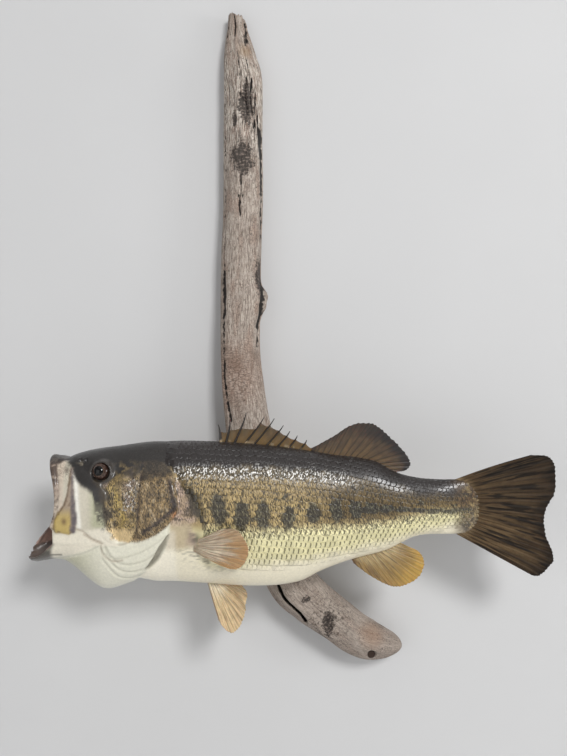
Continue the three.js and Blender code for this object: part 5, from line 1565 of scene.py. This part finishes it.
BURL = {"y": -21, "z": -184, "tall": 15, "deep": 13, "out": 8}
SPLIT = [[34.6, -466], [42.4, -483.4], [51.6, -492.7], [58.7, -499.9], [63.8, -507]]
CRACKS = [  # x, z of dark cracks drawn on the front, and half width
    ([[-10, 112], [-8, 98], [-8.5, 86]], 0.8), ([[2, 101], [4, 90], [4.4, 80]], 0.9),
    ([[-15.6, 98], [-17, 86]], 0.9), ([[17.4, -14], [19.4, -32], [20.4, -52], [20.4, -76]], 2.6),
    ([[15, 2], [15.6, -10], [16.4, -16]], 0.8), ([[19.6, -78], [18.4, -96], [19.4, -140]], 0.7),
    ([[-2, -58], [-1.6, -74], [-3.4, -86], [-2.2, -100]], 0.7), ([[-7, -88], [-2, -86], [3, -84]], 0.6),
    ([[-5, -80], [-2, -78], [2, -81]], 0.6), ([[4, 40], [3, 22], [6, 4]], 0.7),
    ([[9.5, 40], [8.4, 22], [10.4, 2]], 0.7), ([[12, 30], [13, 12], [12, -10]], 0.6),
    ([[-17.2, 80], [-18.6, 20], [-18.2, -60]], 0.5), ([[-18, -60], [-18.6, -120], [-19, -158]], 0.5),
    ([[-19.4, -156], [-19, -176], [-18.6, -199]], 1.6),
    ([[-19.8, -199], [-19.4, -225], [-18.9, -248], [-18.2, -266], [-14.4, -292], [-11.6, -306]], 1.3),
    ([[20.4, -168], [20.6, -180], [19.6, -190], [18.2, -202], [15.8, -212]], 1.9),
    ([[15.6, -212], [15.2, -232]], 0.7),
]
KNOTS = [  # x, z, half width, half height
    (3.7, 14, 7.4, 20), (-0.3, -41, 12, 18), (17.8, -160, 4.8, 19), (85.8, -509, 6, 12), (63, -484, 5, 4),
    (-8, -2, 2.2, 9), (2.6, 84, 1.6, 9),
]
TIP_CUT = 112.4
BAR_RADIUS = 20
SEAT_GAP, SEAT_PASSES = 0.5, 3  # the fish leans, so its flank is found again after each move


# %% [markdown]
# Each ring of the tube stands square to the centre line. Its radius varies with two slow waves round the
# branch and with three layers of streaked noise.

# %% Rings of the branch
def fibres(around, length, stretch, size, seed, octaves):
    """Noise drawn out along the branch: the smaller the stretch, the longer its streaks."""
    return layered(np.concatenate([around, length[..., None] * stretch], -1), size, seed, octaves)


def branch_form(steps=500, sides=184):
    """Points of the branch, their distances along it, and their places on a plain round bar."""
    t, turn = lattice(shares(steps), turns(sides))
    row = through(BRANCH, t[:, 0])
    along = unit(np.gradient(row[:, :3], axis=0))
    side = unit(np.cross([0.0, 1, 0], along))
    front = np.cross(along, side)
    rough = 1 + 0.035 * np.sin(3 * turn + 7 * t) + 0.03 * np.sin(5 * turn - 19 * t)
    steps_along = np.linalg.norm(np.diff(row[:, :3], axis=0), axis=1)
    length = np.concatenate([[0], np.cumsum(steps_along)])[:, None] + 0 * turn
    around = np.stack([np.cos(turn), np.sin(turn)], -1) * BAR_RADIUS
    radius = row[:, 3:] * rough + 0.5 * fibres(around, length, 0.16, 7, 101, 3)
    radius = (radius + 0.35 * fibres(around, length, 0.05, 2.2, 102, 2)
              + 0.8 * fibres(around, length, 0.5, 26, 103, 2))
    points = row[:, None, :3] + radius[..., None] * (np.cos(turn)[..., None] * side[:, None]
                                                     + np.sin(turn)[..., None] * front[:, None])
    return points, length, around


wood, wood_length, wood_around = branch_form()
print("branch length:", round(float(wood_length[-1, 0])), "mm")

# %% [markdown]
# Weather changes those points one step after another. A burl swells one side, and cracks and knots sink in.

# %% Burl, cracks and knots
def push(points, amount):
    """Moves points out from the branch's centre line by an amount in millimetres."""
    centre = points.mean(1, keepdims=True)
    return points + unit(points - centre) * amount[..., None]


def facing_front(points):
    """1 on the half of the branch that faces the room."""
    return smooth((points.mean(1, keepdims=True)[..., 1] - points[..., 1]) / 6 + 0.5)


def wood_distance(points, line):
    """Distance in front view from each point of the branch to a smooth curve."""
    return distance_to(line, points[..., 0].ravel(), points[..., 2].ravel(), 40).reshape(points.shape[:2])


burl_z = np.exp(-np.abs((wood[..., 2] - BURL["z"]) / BURL["tall"]) ** 3)
burl_y = dent(wood[..., 1] - BURL["y"], BURL["deep"])
wood[..., 0] += (BURL["out"] * burl_z * burl_y * (1 + 0.25 * layered(wood, 6, seed=107))
                 * smooth((wood[..., 0] - 2) / 10))

open_front = facing_front(wood)
crack_and_hole_shade_mask = np.zeros(wood.shape[:2])
for line, half_width in CRACKS:
    wander = 1.2 * layered(wood[..., [0, 2]], 9, seed=int(abs(line[0][1])))
    fade = wood_distance(wood, line) + 0.5 * wander
    crack_and_hole_shade_mask = np.maximum(crack_and_hole_shade_mask, dent(np.maximum(fade, 0), half_width) * open_front)
checks = smooth((fibres(wood_around, wood_length, 0.045, 3.1, 104, 2) - 0.46) / 0.12)
checks *= smooth((wood[..., 2] + 200) / 30)
knot_mask = np.zeros(wood.shape[:2])
for kx, kz, half_width, half_height in KNOTS:
    off = np.hypot((wood[..., 0] - kx) / half_width, (wood[..., 2] - kz) / half_height)
    knot = np.clip(1.3 - off - 0.3 * layered(wood[..., [0, 2]], 5, seed=105), 0, 1)
    knot_mask = np.maximum(knot_mask, knot * open_front)
print("cracked share of the branch:", round(float((crack_and_hole_shade_mask > 0.5).mean()), 3))
wood = push(wood, -2.4 * crack_and_hole_shade_mask - 1.0 * checks - 1.6 * knot_mask * noise(wood, 4, seed=106))

# %% [markdown]
# A split low down is cut deep, and the tip is broken into splinters.

# %% Split and tip
split_gap = wood_distance(wood, SPLIT)
before_middle = wood.mean(1, keepdims=True)[..., 1] - wood[..., 1]
split_mask = smooth((1.9 - split_gap) / 0.9) * smooth(before_middle / 8)
wood[..., 1] += 11 * split_mask
crack_and_hole_shade_mask = np.maximum(crack_and_hole_shade_mask, split_mask)

splinter = TIP_CUT - 3 * smooth((wood[..., 0] + 12) / 6) - 6 * smooth((wood[..., 0] + 2) / 6)
splinter -= 5 * np.abs(layered(wood[..., [0, 1]], 2.6, seed=108))
wood[..., 2] = np.minimum(wood[..., 2], splinter)


# %% [markdown]
# Last come the cut faces: the seat of the bass, the screw's hole, and the flat back with its pocket.

# %% Seat, hole and back
def seat(points):
    """Draws points that would be inside the bass back along y, to a small gap off its far flank."""
    world = points.reshape(-1, 3).copy()
    c, s = math.cos(FISH_LEAN), math.sin(FISH_LEAN)
    x, z = world[:, 0] - FISH_AT[0], world[:, 2] - FISH_AT[2]
    body_x = np.clip(x, BODY_FROM, BODY_TO)
    top, bottom = section(body_x)[:2]
    for _ in range(SEAT_PASSES):
        fish_z = z * c - (world[:, 1] - FISH_AT[1]) * s
        flank = FISH_AT[1] + (body_half(body_x, fish_z) + SEAT_GAP - swing(x)) * c - fish_z * s
        hit = (fish_z < top) & (fish_z > bottom) & (world[:, 1] < flank) & (x > BODY_FROM) & (x < BODY_TO)
        world[:, 1] = np.where(hit, flank, world[:, 1])
    return world.reshape(points.shape)


wood = seat(wood)
screw_gap = np.hypot(wood[..., 0] - SCREW_HOLE["x"], wood[..., 2] - SCREW_HOLE["z"])
rim_gap = screw_gap - SCREW_HOLE["radius"]
sunk_to = lerp(SCREW_HOLE["floor"], SCREW_HOLE["floor"] - 8, smooth(rim_gap / SCREW_HOLE["bevel"]))
in_hole = (rim_gap < SCREW_HOLE["bevel"]) & (wood[..., 1] < SCREW_HOLE["front"])
wood[..., 1] = np.where(in_hole, np.maximum(wood[..., 1], sunk_to), wood[..., 1])
in_front = wood[..., 1] < SCREW_HOLE["front"]
# A dark ring painted in and round the screw's hole: painted shade of the recess.
crack_and_hole_shade_mask = np.maximum(crack_and_hole_shade_mask, 0.9 * smooth((0.5 - rim_gap) / 1.5) * in_front)
in_pocket = (np.abs(wood[..., 0]) < POCKET["half"]) & (np.abs(wood[..., 2] - POCKET["z"]) < POCKET["tall"])
wood[..., 1] = np.minimum(wood[..., 1], np.where(in_pocket, POCKET["floor"], 0))
down = np.clip(wood_length / wood_length[-1, 0], 0, 1)
wood_info = np.stack([np.maximum(crack_and_hole_shade_mask, 0.5 * checks), knot_mask, down], -1)
wood_form = tube(wood)
wood_fields = {"wear": capped(wood_info),
               "flow": capped(np.concatenate([wood_around, wood_length[..., None]], -1))}
driftwood = new_mesh("driftwood_weathered", wood_form[0] * MM, wood_form[1], wood_fields, merge=True)
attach(driftwood, "root")
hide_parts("driftwood")

# %% [markdown]
# Materials. Each is one Principled shader: the numbers that are the same everywhere sit on its own
# sockets, and nodes bring colour, roughness and bump. A small class lets the outputs of nodes be added and
# multiplied like numbers, which keeps the node graphs readable.

# %% Node helpers
class Wire:
    """A node's output. Sums, differences and products of it become Math nodes."""

    def __init__(self, socket):
        self.socket = socket
        self.tree = socket.id_data

    def __add__(self, other):
        return calc("ADD", self, other)

    def __sub__(self, other):
        return calc("SUBTRACT", self, other)

    def __rsub__(self, other):
        return calc("SUBTRACT", other, self)

    def __mul__(self, other):
        return calc("MULTIPLY", self, other)

    __radd__ = __add__
    __rmul__ = __mul__


def fill(made, inputs):
    """Sets a node's inputs: a wire is linked, a text is a colour's hex code, anything else is a value."""
    for key, value in inputs.items():
        socket = made.inputs[key]
        if isinstance(value, Wire):
            value.tree.links.new(value.socket, socket)
        elif isinstance(value, str):
            socket.default_value = (*srgb(value), 1)[:len(socket.default_value)]
        else:
            socket.default_value = value


def node(tree, kind, inputs=None, output=0, **settings):
    """Adds a node and returns one of its outputs."""
    made = tree.nodes.new("ShaderNode" + kind)
    for key, value in settings.items():
        setattr(made, key, value)
    fill(made, inputs or {})
    return Wire(made.outputs[output])


def calc(operation, a, b=0.0):
    """One Math node of one or two values, at least one of them a wire."""
    tree = a.tree if isinstance(a, Wire) else b.tree
    return node(tree, "Math", {0: a, 1: b}, operation=operation)


# %% [markdown]
# Short names for what the graphs use most: soft steps, one colour over another, values stored on the mesh,
# and two kinds of noise.

# %% Masks, colours and noise in nodes
def step_up(value, low, high):
    """0 below low, 1 above high, smooth between; low may be above high."""
    return node(value.tree, "MapRange", {"Value": value, "From Min": low, "From Max": high},
                interpolation_type="SMOOTHSTEP")


def over(base, colour, mask):
    """Colour laid over base by a mask."""
    return node(mask.tree, "Mix", {0: mask, 6: base, 7: colour}, output=2, data_type="RGBA")


def shaded(colour, factor):
    """Colour times a number."""
    return node(factor.tree, "VectorMath", {0: colour, 3: factor}, operation="SCALE")


def attribute(tree, name, output="Vector"):
    """A value stored on the mesh."""
    return node(tree, "Attribute", output=output, attribute_name=name)


def parts(vector):
    """The three numbers of a vector."""
    return [Wire(socket) for socket in node(vector.tree, "SeparateXYZ", {0: vector}).socket.node.outputs]


def spots(tree, size, detail, stretch=None):
    """Noise from 0 to 1 whose lumps are about size millimetres."""
    place = node(tree, "TexCoord", output="Object")
    if stretch:
        place = node(tree, "Mapping", {"Vector": place, "Scale": stretch})
    return node(tree, "TexNoise", {"Vector": place, "Scale": 1 / (size * MM), "Detail": detail,
                                   "Roughness": 0.6})


def slivers(tree, size, length, lean):
    """Noise from 0 to 1 in slivers, size millimetres wide and length times as tall, turned by lean."""
    place = node(tree, "Mapping", {"Vector": node(tree, "TexCoord", output="Object"),
                                   "Rotation": (0, lean, 0), "Scale": (1, 1, length)},
                                   vector_type="TEXTURE")
    return node(tree, "TexNoise", {"Vector": place, "Scale": 1 / (size * MM), "Detail": 2.0,
                                   "Roughness": 0.5})


# %% [markdown]
# One function turns a painting function into a finished material.

# %% Materials
BUMP_DEPTH = 0.6 * MM


def finish(name, paint, constants):
    """A material: paint(tree) gives colour, roughness and bump height, constants go on the shader."""
    material = bpy.data.materials.new(name)
    material.use_nodes = True
    tree = material.node_tree
    shader = tree.nodes["Principled BSDF"]
    colour, roughness, height, strength = paint(tree)
    bump = node(tree, "Bump", {"Height": height, "Strength": strength, "Distance": BUMP_DEPTH})
    fill(shader, {"Base Color": colour, "Roughness": roughness, "Normal": bump, **constants})
    print("material:", name)
    return material


# %% [markdown]
# Skin and scales share a varnish: a clear coat over satin paint. Both are streaked with slanting slivers of
# light and dark wherever the fish is scaled, partly the scales' pattern and partly painted glints and
# painted shade. Each scale adds painted shade at its root, and on the lower flank one dark dash where it
# comes out from under the scale in front. Blotches and the band under the back, partly silver paint and
# partly painted highlight, get ragged edges here; that band gets white painted glints on a darkened ground.
# Scales of the head have wider, shorter slivers and stronger painted shade at their roots.

# %% Skin and scales
VARNISH = {"Coat Weight": 0.45, "Coat Roughness": 0.18, "IOR": 1.42}


def streaked(paint, strength, sliver):
    """Paint darkened in the troughs of the sliver noise and brightened on its crests."""
    # The slivers are partly the scales' pattern and partly painted glints and painted shade on the scales.
    dark = step_up(sliver, 0.475, 0.4) * strength
    light = step_up(sliver, 0.53, 0.62) * strength
    darkened = over(paint, "231d15", 0.86 * dark)
    return shaded(darkened, 1.0 + 0.55 * light)


def skin_paint_nodes(tree):
    """Stored paint, streaked where the grain is strong, freckled and mottled, with pores."""
    grain = attribute(tree, "grain", "Fac")
    sliver = slivers(tree, 0.9, 3.2, -0.2)
    paint = streaked(attribute(tree, "paint", "Color"), grain, sliver)
    depth = 0.4 + 0.9 * grain
    mottled = shaded(paint, (spots(tree, 2.2, 4) - 0.48) * depth + 1.0)
    freckle = step_up(spots(tree, 0.9, 2), 0.66, 0.74)
    colour = shaded(mottled, 1.0 - 0.15 * freckle)
    roughness = 0.25 * spots(tree, 3.0, 2) + (0.26 + 0.3 * grain)
    height = 2.2 * (sliver * grain) + spots(tree, 0.8, 4)
    return colour, roughness, height, 0.25


def scale_paint_nodes(tree, width=0.85, length=4.0, depth=1.0, root_shade_strength=0.5):
    """Stored paint, streaked, blotch, painted root shade, painted glints, dash and pale ridge, by masks."""
    along, across, random = parts(attribute(tree, "plate"))
    dash, streak, blotch = parts(attribute(tree, "marks"))
    silver_and_painted_sheen = attribute(tree, "silver_and_painted_sheen", "Fac")
    shown = 2.08 * along - 1.08
    at = 0.2 * spots(tree, 1.4, 2) + (shown - 0.1)
    fine = spots(tree, 0.8, 4)
    sliver = slivers(tree, width, length, -0.2)
    toned = shaded(attribute(tree, "paint", "Color"), 0.88 + 0.24 * random)
    speckled = shaded(toned, 0.8 + 0.4 * fine)
    patterned = streaked(speckled, streak * depth, sliver)
    ragged = 0.6 * sliver + (blotch + 0.5 * fine)
    freckled = over("2c2a25", "6b6a58", step_up(sliver, 0.54, 0.64))
    blotched = over(patterned, freckled, 0.88 * step_up(ragged, 0.96, 1.16))
    # Painted shade at each scale's root, where the scale in front lies over it.
    root = step_up(at, 0.22, 0.04) * streak
    root_shaded = over(blotched, "231d15", root * root_shade_strength)
    # White painted glints, with the ground under them darkened, along the sheen band and in front of the
    # preopercle.
    glint = step_up(slivers(tree, 1.5, 1.7, 0.3), 0.53, 0.6) * silver_and_painted_sheen
    darkened_under_glints = over(root_shaded, "231f1c", 0.72 * silver_and_painted_sheen)
    painted_glints = over(darkened_under_glints, "fdfbf6", 0.96 * glint)
    leaning = at - 0.16 * (across * across) - 0.12 * across
    band = step_up(leaning, -0.02, 0.08) * step_up(leaning, 0.38, 0.26)
    wide = calc("ABSOLUTE", across)
    short = step_up(wide + 0.2 * random, 0.84, 0.6)
    mark = band * short * dash
    dashed = over(painted_glints, "4c492c", 0.85 * mark)
    rim = step_up(at, 0.78, 0.98)
    colour = over(dashed, "ece7cc", 0.3 * (rim * dash))
    rings = node(tree, "TexWave", {"Vector": attribute(tree, "plate"), "Scale": 5.0, "Distortion": 1.5},
                 output=1)
    roughness = 0.2 + 0.25 * spots(tree, 2.0, 3)
    height = 2.0 * (sliver * streak) + (fine + 0.2 * rings)
    return colour, roughness, height, 0.35


skin_finish = finish("bass_skin", skin_paint_nodes, VARNISH)
scale_finish = finish("bass_scales", scale_paint_nodes, VARNISH)
head_scale_finish = finish("bass_head_scales", lambda tree: scale_paint_nodes(tree, 1.3, 2.6, 0.9, 0.8),
                           VARNISH)
bass.data.materials.append(skin_finish)
for coat in coats:
    coat.data.materials.append(head_scale_finish if coat.name.startswith("head") else scale_finish)

# %% [markdown]
# Fins are stretched skin, so light comes a little way through them: a small share of subsurface light
# does that. Dark lines follow the rays and fine cross bars mark their joints. The tail's finish is duller.

# %% Fins
def fin_nodes(ray_shade, web_shade):
    def nodes(tree):
        pattern, along, _ = parts(attribute(tree, "fin"))
        paint = attribute(tree, "paint", "Color")
        on_ray = step_up(pattern, 0.55, 0.12)
        tone = on_ray * (ray_shade - web_shade) + web_shade
        colour = shaded(paint, tone)
        blotchy = shaded(colour, 0.65 + 0.7 * spots(tree, 5, 4))
        bars = calc("SINE", 150.0 * along)
        joints = step_up(bars, 0.55, 0.95) * on_ray
        jointed = shaded(blotchy, 1.0 - 0.16 * joints)
        fine = spots(tree, 0.7, 3)
        height = 0.5 * fine + 0.6 * on_ray
        return jointed, 0.25 + 0.3 * fine, height, 0.35
    return nodes


FIN_LIGHT = {"Coat Weight": 0.2, "Coat Roughness": 0.25, "Subsurface Weight": 0.12,
             "Subsurface Scale": 0.002}
dark_fin_finish = finish("fin_dark", fin_nodes(0.58, 1.12), FIN_LIGHT)
pale_fin_finish = finish("fin_pale", fin_nodes(0.8, 1.05), FIN_LIGHT)
tail_finish = finish("fin_tail", fin_nodes(0.75, 1.05), {
    "Roughness": 0.6, "Subsurface Weight": 0.05, "Subsurface Scale": 0.001, "IOR": 1.25})
for fin in dark_fins:
    fin.data.materials.append(tail_finish if fin.name == "tail_fin_rayed" else dark_fin_finish)
for fin in pale_fins:
    fin.data.materials.append(pale_fin_finish)

# %% [markdown]
# The eye is painted in rings behind a glassy coat. The tongue is moist and pitted.

# %% Eye and tongue
def eye_nodes(tree):
    """Pupil, iris with spokes and a gold inner ring, dark rim and ball, by the distance from the axis."""
    ring, turn, _ = parts(attribute(tree, "ring"))
    spokes = node(tree, "TexNoise", {"Vector": node(tree, "CombineXYZ", {0: 4.0 * turn, 1: 0.5 * ring}),
                                     "Scale": 1.0, "Detail": 3.0})
    iris = over("33251f", "523e34", step_up(spokes, 0.35, 0.7))
    gold = over(iris, "7d6650", 0.3 * step_up(ring, PUPIL + 0.8, PUPIL + 0.1))
    rimmed = over(gold, "2a1a14", step_up(ring, IRIS - 1.3, IRIS - 0.2))
    pupil = over(rimmed, "060505", step_up(ring, PUPIL + 0.25, PUPIL - 0.15))
    colour = over(pupil, "2f2823", step_up(ring, IRIS, IRIS + 0.5))
    return colour, 0.12, spots(tree, 4, 1), 0.01


def tongue_nodes(tree):
    """Dusty pink, blotched, with fine pits."""
    colour = over("9a7a6c", "c2a893", step_up(spots(tree, 5, 3), 0.4, 0.65))
    return colour, 0.25 + 0.3 * spots(tree, 2, 2), spots(tree, 0.9, 3), 0.5


eye_finish = finish("glass_eye", eye_nodes, {"Coat Weight": 0.3, "Coat Roughness": 0.03, "IOR": 1.3})
for eye in eyes:
    eye.data.materials.append(eye_finish)
tongue.data.materials.append(finish("tongue_painted", tongue_nodes, {"Coat Weight": 0.3}))

# %% [markdown]
# Bare wood goes silver in the weather. Its colour runs with the grain, which is why the noise is read in
# the branch's own coordinates: round it and along it. Cracks are black, knots dark and mottled, and the
# lower part is greyer. Single places differ: the wood below the tip is worn pale and pitted, there is
# mould at the lower bend, a stretch of cross cracks above it, and a brown stain here and there.

# %% Driftwood
def near(tree, place, radius):
    """1 within a fifth of the radius from a place, falling to 0 at the radius; both are in metres."""
    distance = node(tree, "VectorMath", {0: node(tree, "TexCoord", output="Object"), 1: place},
                    output="Value", operation="DISTANCE")
    return step_up(distance, radius, radius * 0.2)


def along_grain(tree, texture, stretch, inputs, **settings):
    """A texture read round the branch and along it; a stretch below 1 draws it out along the grain."""
    flow = node(tree, "Mapping", {"Vector": attribute(tree, "flow"), "Scale": (1, 1, stretch)})
    return node(tree, texture, {"Vector": flow, **inputs}, **settings)


def driftwood_nodes(tree):
    """Silver grain with stains and specks, then the marks of single places, then cracks and knots."""
    crack, knot, share = parts(attribute(tree, "wear"))
    fibre = along_grain(tree, "TexNoise", 0.11, {"Scale": 1.1, "Detail": 6.0, "Roughness": 0.7})
    hair = along_grain(tree, "TexNoise", 0.04, {"Scale": 2.0, "Detail": 3.0})
    broad = along_grain(tree, "TexNoise", 0.25, {"Scale": 0.12, "Detail": 4.0})
    cells = along_grain(tree, "TexVoronoi", 0.6, {"Scale": 0.42}, feature="DISTANCE_TO_EDGE")
    patch = spots(tree, 28, 4)
    silver = over("76695f", "bfb3a7", step_up(fibre, 0.36, 0.62))
    rosy = over(silver, "a08676", 0.45 * step_up(broad, 0.46, 0.66))
    low = step_up(share + 0.16 * patch, 0.68, 0.92)
    greyed = over(rosy, shaded("93887e", 0.55 + 0.9 * fibre), 0.6 * low)
    grime = 0.55 * step_up(patch + 0.3 * fibre, 0.7, 0.86)
    stained = over(greyed, "5f5146", grime)
    speck = step_up(spots(tree, 1.2, 4), 0.56, 0.68)
    specked = over(stained, "453b33", 0.6 * speck)
    crackle = step_up(cells, 0.07, 0.0) * step_up(broad, 0.42, 0.56)
    crackled = over(specked, "4c413a", 0.6 * crackle)
    lined = over(crackled, "40362f", 0.55 * step_up(hair, 0.6, 0.68))
    worn = near(tree, (0.004, -0.031, 0.012), 0.09)
    ridged = over(lined, "dfd6ca", 0.75 * (step_up(fibre, 0.46, 0.58) * worn))
    pitted = over(ridged, "1d1714", step_up(hair, 0.57, 0.62) * worn)
    mould = near(tree, (0.086, -0.04, -0.506), 0.036) * step_up(spots(tree, 3.2, 5), 0.5, 0.6)
    mouldy = over(pitted, "40362f", 0.8 * mould)
    ringed = along_grain(tree, "TexVoronoi", 11 / 3, {"Scale": 0.12}, feature="DISTANCE_TO_EDGE")
    lower = near(tree, (-0.018, -0.04, -0.262), 0.056)
    rosier = over(mouldy, "a3826f", 0.35 * lower)
    crossed = over(rosier, "55463c", 0.65 * (step_up(ringed, 0.14, 0.0) * lower))
    tinted = over(crossed, "94735a", 0.45 * near(tree, (0.131, -0.04, -0.52), 0.02))
    tinted = over(tinted, "8a6a44", 0.5 * near(tree, (0.004, -0.028, 0.07), 0.013))
    # Near black in the cracks, and as painted shade in the screw's hole.
    broken = crack + 1.7 * (spots(tree, 4, 4) - 0.5)
    cracked = over(tinted, "120e0c", 0.96 * step_up(broken, 0.25, 0.55))
    bands = along_grain(tree, "TexWave", 1, {"Scale": 0.09, "Distortion": 7.0, "Detail": 4.0}, output=1,
                        bands_direction="Z")
    ashy = 0.13 * bands + spots(tree, 2.4, 4)
    charred = over("1d1613", "7d6f66", step_up(ashy, 0.56, 0.78))
    tear = fibre + 1.2 * spots(tree, 3, 4) - 1.1
    torn = knot + 1.5 * tear
    knotted = over(cracked, charred, 0.88 * step_up(torn, 0.22, 0.48))
    height = fibre + (crack * -0.8 - 0.4 * crackle)
    return knotted, 0.68 + 0.2 * fibre, height, 0.9


driftwood.data.materials.append(finish("driftwood_grey", driftwood_nodes, {"IOR": 1.4}))

# %% [markdown]
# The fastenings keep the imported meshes. Their steel is dulled by fine scratches and a little rust.

# %% Steel
def steel_nodes(tree):
    """Grey steel with rust freckles; the rust is rougher."""
    rust = step_up(spots(tree, 1.6, 4), 0.56, 0.66)
    colour = over("8d8f92", "5a3a26", 0.8 * rust)
    return colour, 0.32 + 0.4 * rust, spots(tree, 0.6, 3, stretch=(1, 1, 6)), 0.3


steel = finish("steel_worn", steel_nodes, {"Metallic": 1.0})
dark_steel = finish("steel_dark", lambda tree: ("4a3e38", *steel_nodes(tree)[1:]), {"Metallic": 1.0})
for name in ("hanger", "hanger_nail_left", "hanger_nail_right", "body_screw_upper", "body_screw_lower",
             "foot_screw"):
    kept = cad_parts[name]
    kept.data.materials.clear()
    kept.data.materials.append(dark_steel if name == "foot_screw" else steel)

# %% [markdown]
# The room: a pale wall just behind the branch and a pale floor well below. The wall is clear to shadows and
# from behind, because it is only a backdrop.

# %% Wall and floor
CENTRE = (50 * MM, -60 * MM, -250 * MM)
FLOOR_Z, WALL_TOP, ROOM = -1.15, 2, 3
WALL_Y = 1.5 * MM  # just behind the branch's back


def sheet(name, corners):
    """A single large quad."""
    made = new_mesh(name, corners, [[0, 1, 2, 3]])
    return made


wall = sheet("wall", [(-ROOM, WALL_Y, FLOOR_Z), (ROOM, WALL_Y, FLOOR_Z), (ROOM, WALL_Y, WALL_TOP),
                      (-ROOM, WALL_Y, WALL_TOP)])
floor = sheet("floor", [(-ROOM, -ROOM, FLOOR_Z), (ROOM, -ROOM, FLOOR_Z), (ROOM, ROOM, FLOOR_Z),
                        (-ROOM, ROOM, FLOOR_Z)])


def plain(name, code, one_sided):
    """Matt paint with a faint cloud; one_sided is clear from behind and to shadow rays."""
    material = bpy.data.materials.new(name)
    material.use_nodes = True
    tree = material.node_tree
    shader = tree.nodes["Principled BSDF"]
    cloud = shaded(code, 0.96 + 0.08 * spots(tree, 260, 2))
    fill(shader, {"Base Color": cloud, "Roughness": 0.85})
    if one_sided:
        unseen = calc("MAXIMUM", node(tree, "LightPath", output="Is Shadow Ray"),
                      node(tree, "NewGeometry", output="Backfacing"))
        mix = node(tree, "MixShader", {0: unseen, 1: Wire(shader.outputs[0]),
                                       2: node(tree, "BsdfTransparent")})
        fill(tree.nodes["Material Output"], {"Surface": mix})
    return material


wall.data.materials.append(plain("wall_paint", "c6c6c6", True))
floor.data.materials.append(plain("floor_paint", "dedede", False))


# %% [markdown]
# A key light stands high on the right, with weak ones from the right, the left and above. A faint light
# behind lets the back be looked at too.

# %% Lights
def lamp(name, place, size, power):
    """A square area light that looks at the fish."""
    data = bpy.data.lights.new(name, "AREA")
    data.size = size
    data.energy = power
    made = bpy.data.objects.new(name, data)
    made.location = place
    aim = np.array(CENTRE) - np.array(place)
    tip_up, turn_round = math.atan2(math.hypot(aim[0], aim[1]), -aim[2]), math.atan2(aim[0], -aim[1])
    made.rotation_euler = (tip_up, 0, turn_round + math.pi)
    bpy.context.scene.collection.objects.link(made)


lamp("key", (1.2, -2.9, 1.1), 0.8, 68)
lamp("side", (1.9, -0.9, -0.15), 0.5, 8)
lamp("fill", (-1.3, -2.2, -0.3), 1.6, 8)
lamp("above", (0.1, -1.0, 2.0), 2.6, 8)
lamp("behind", (0.3, 1.6, 0.5), 1.2, 10)
world = bpy.context.scene.world or bpy.data.worlds.new("studio")
bpy.context.scene.world = world
world.use_nodes = True
world.node_tree.nodes["Background"].inputs["Color"].default_value = (0.98, 0.98, 1, 1)
world.node_tree.nodes["Background"].inputs["Strength"].default_value = 0.3
bpy.context.scene.view_settings.view_transform = "Standard"
print("lights:", [light.name for light in bpy.data.lights])
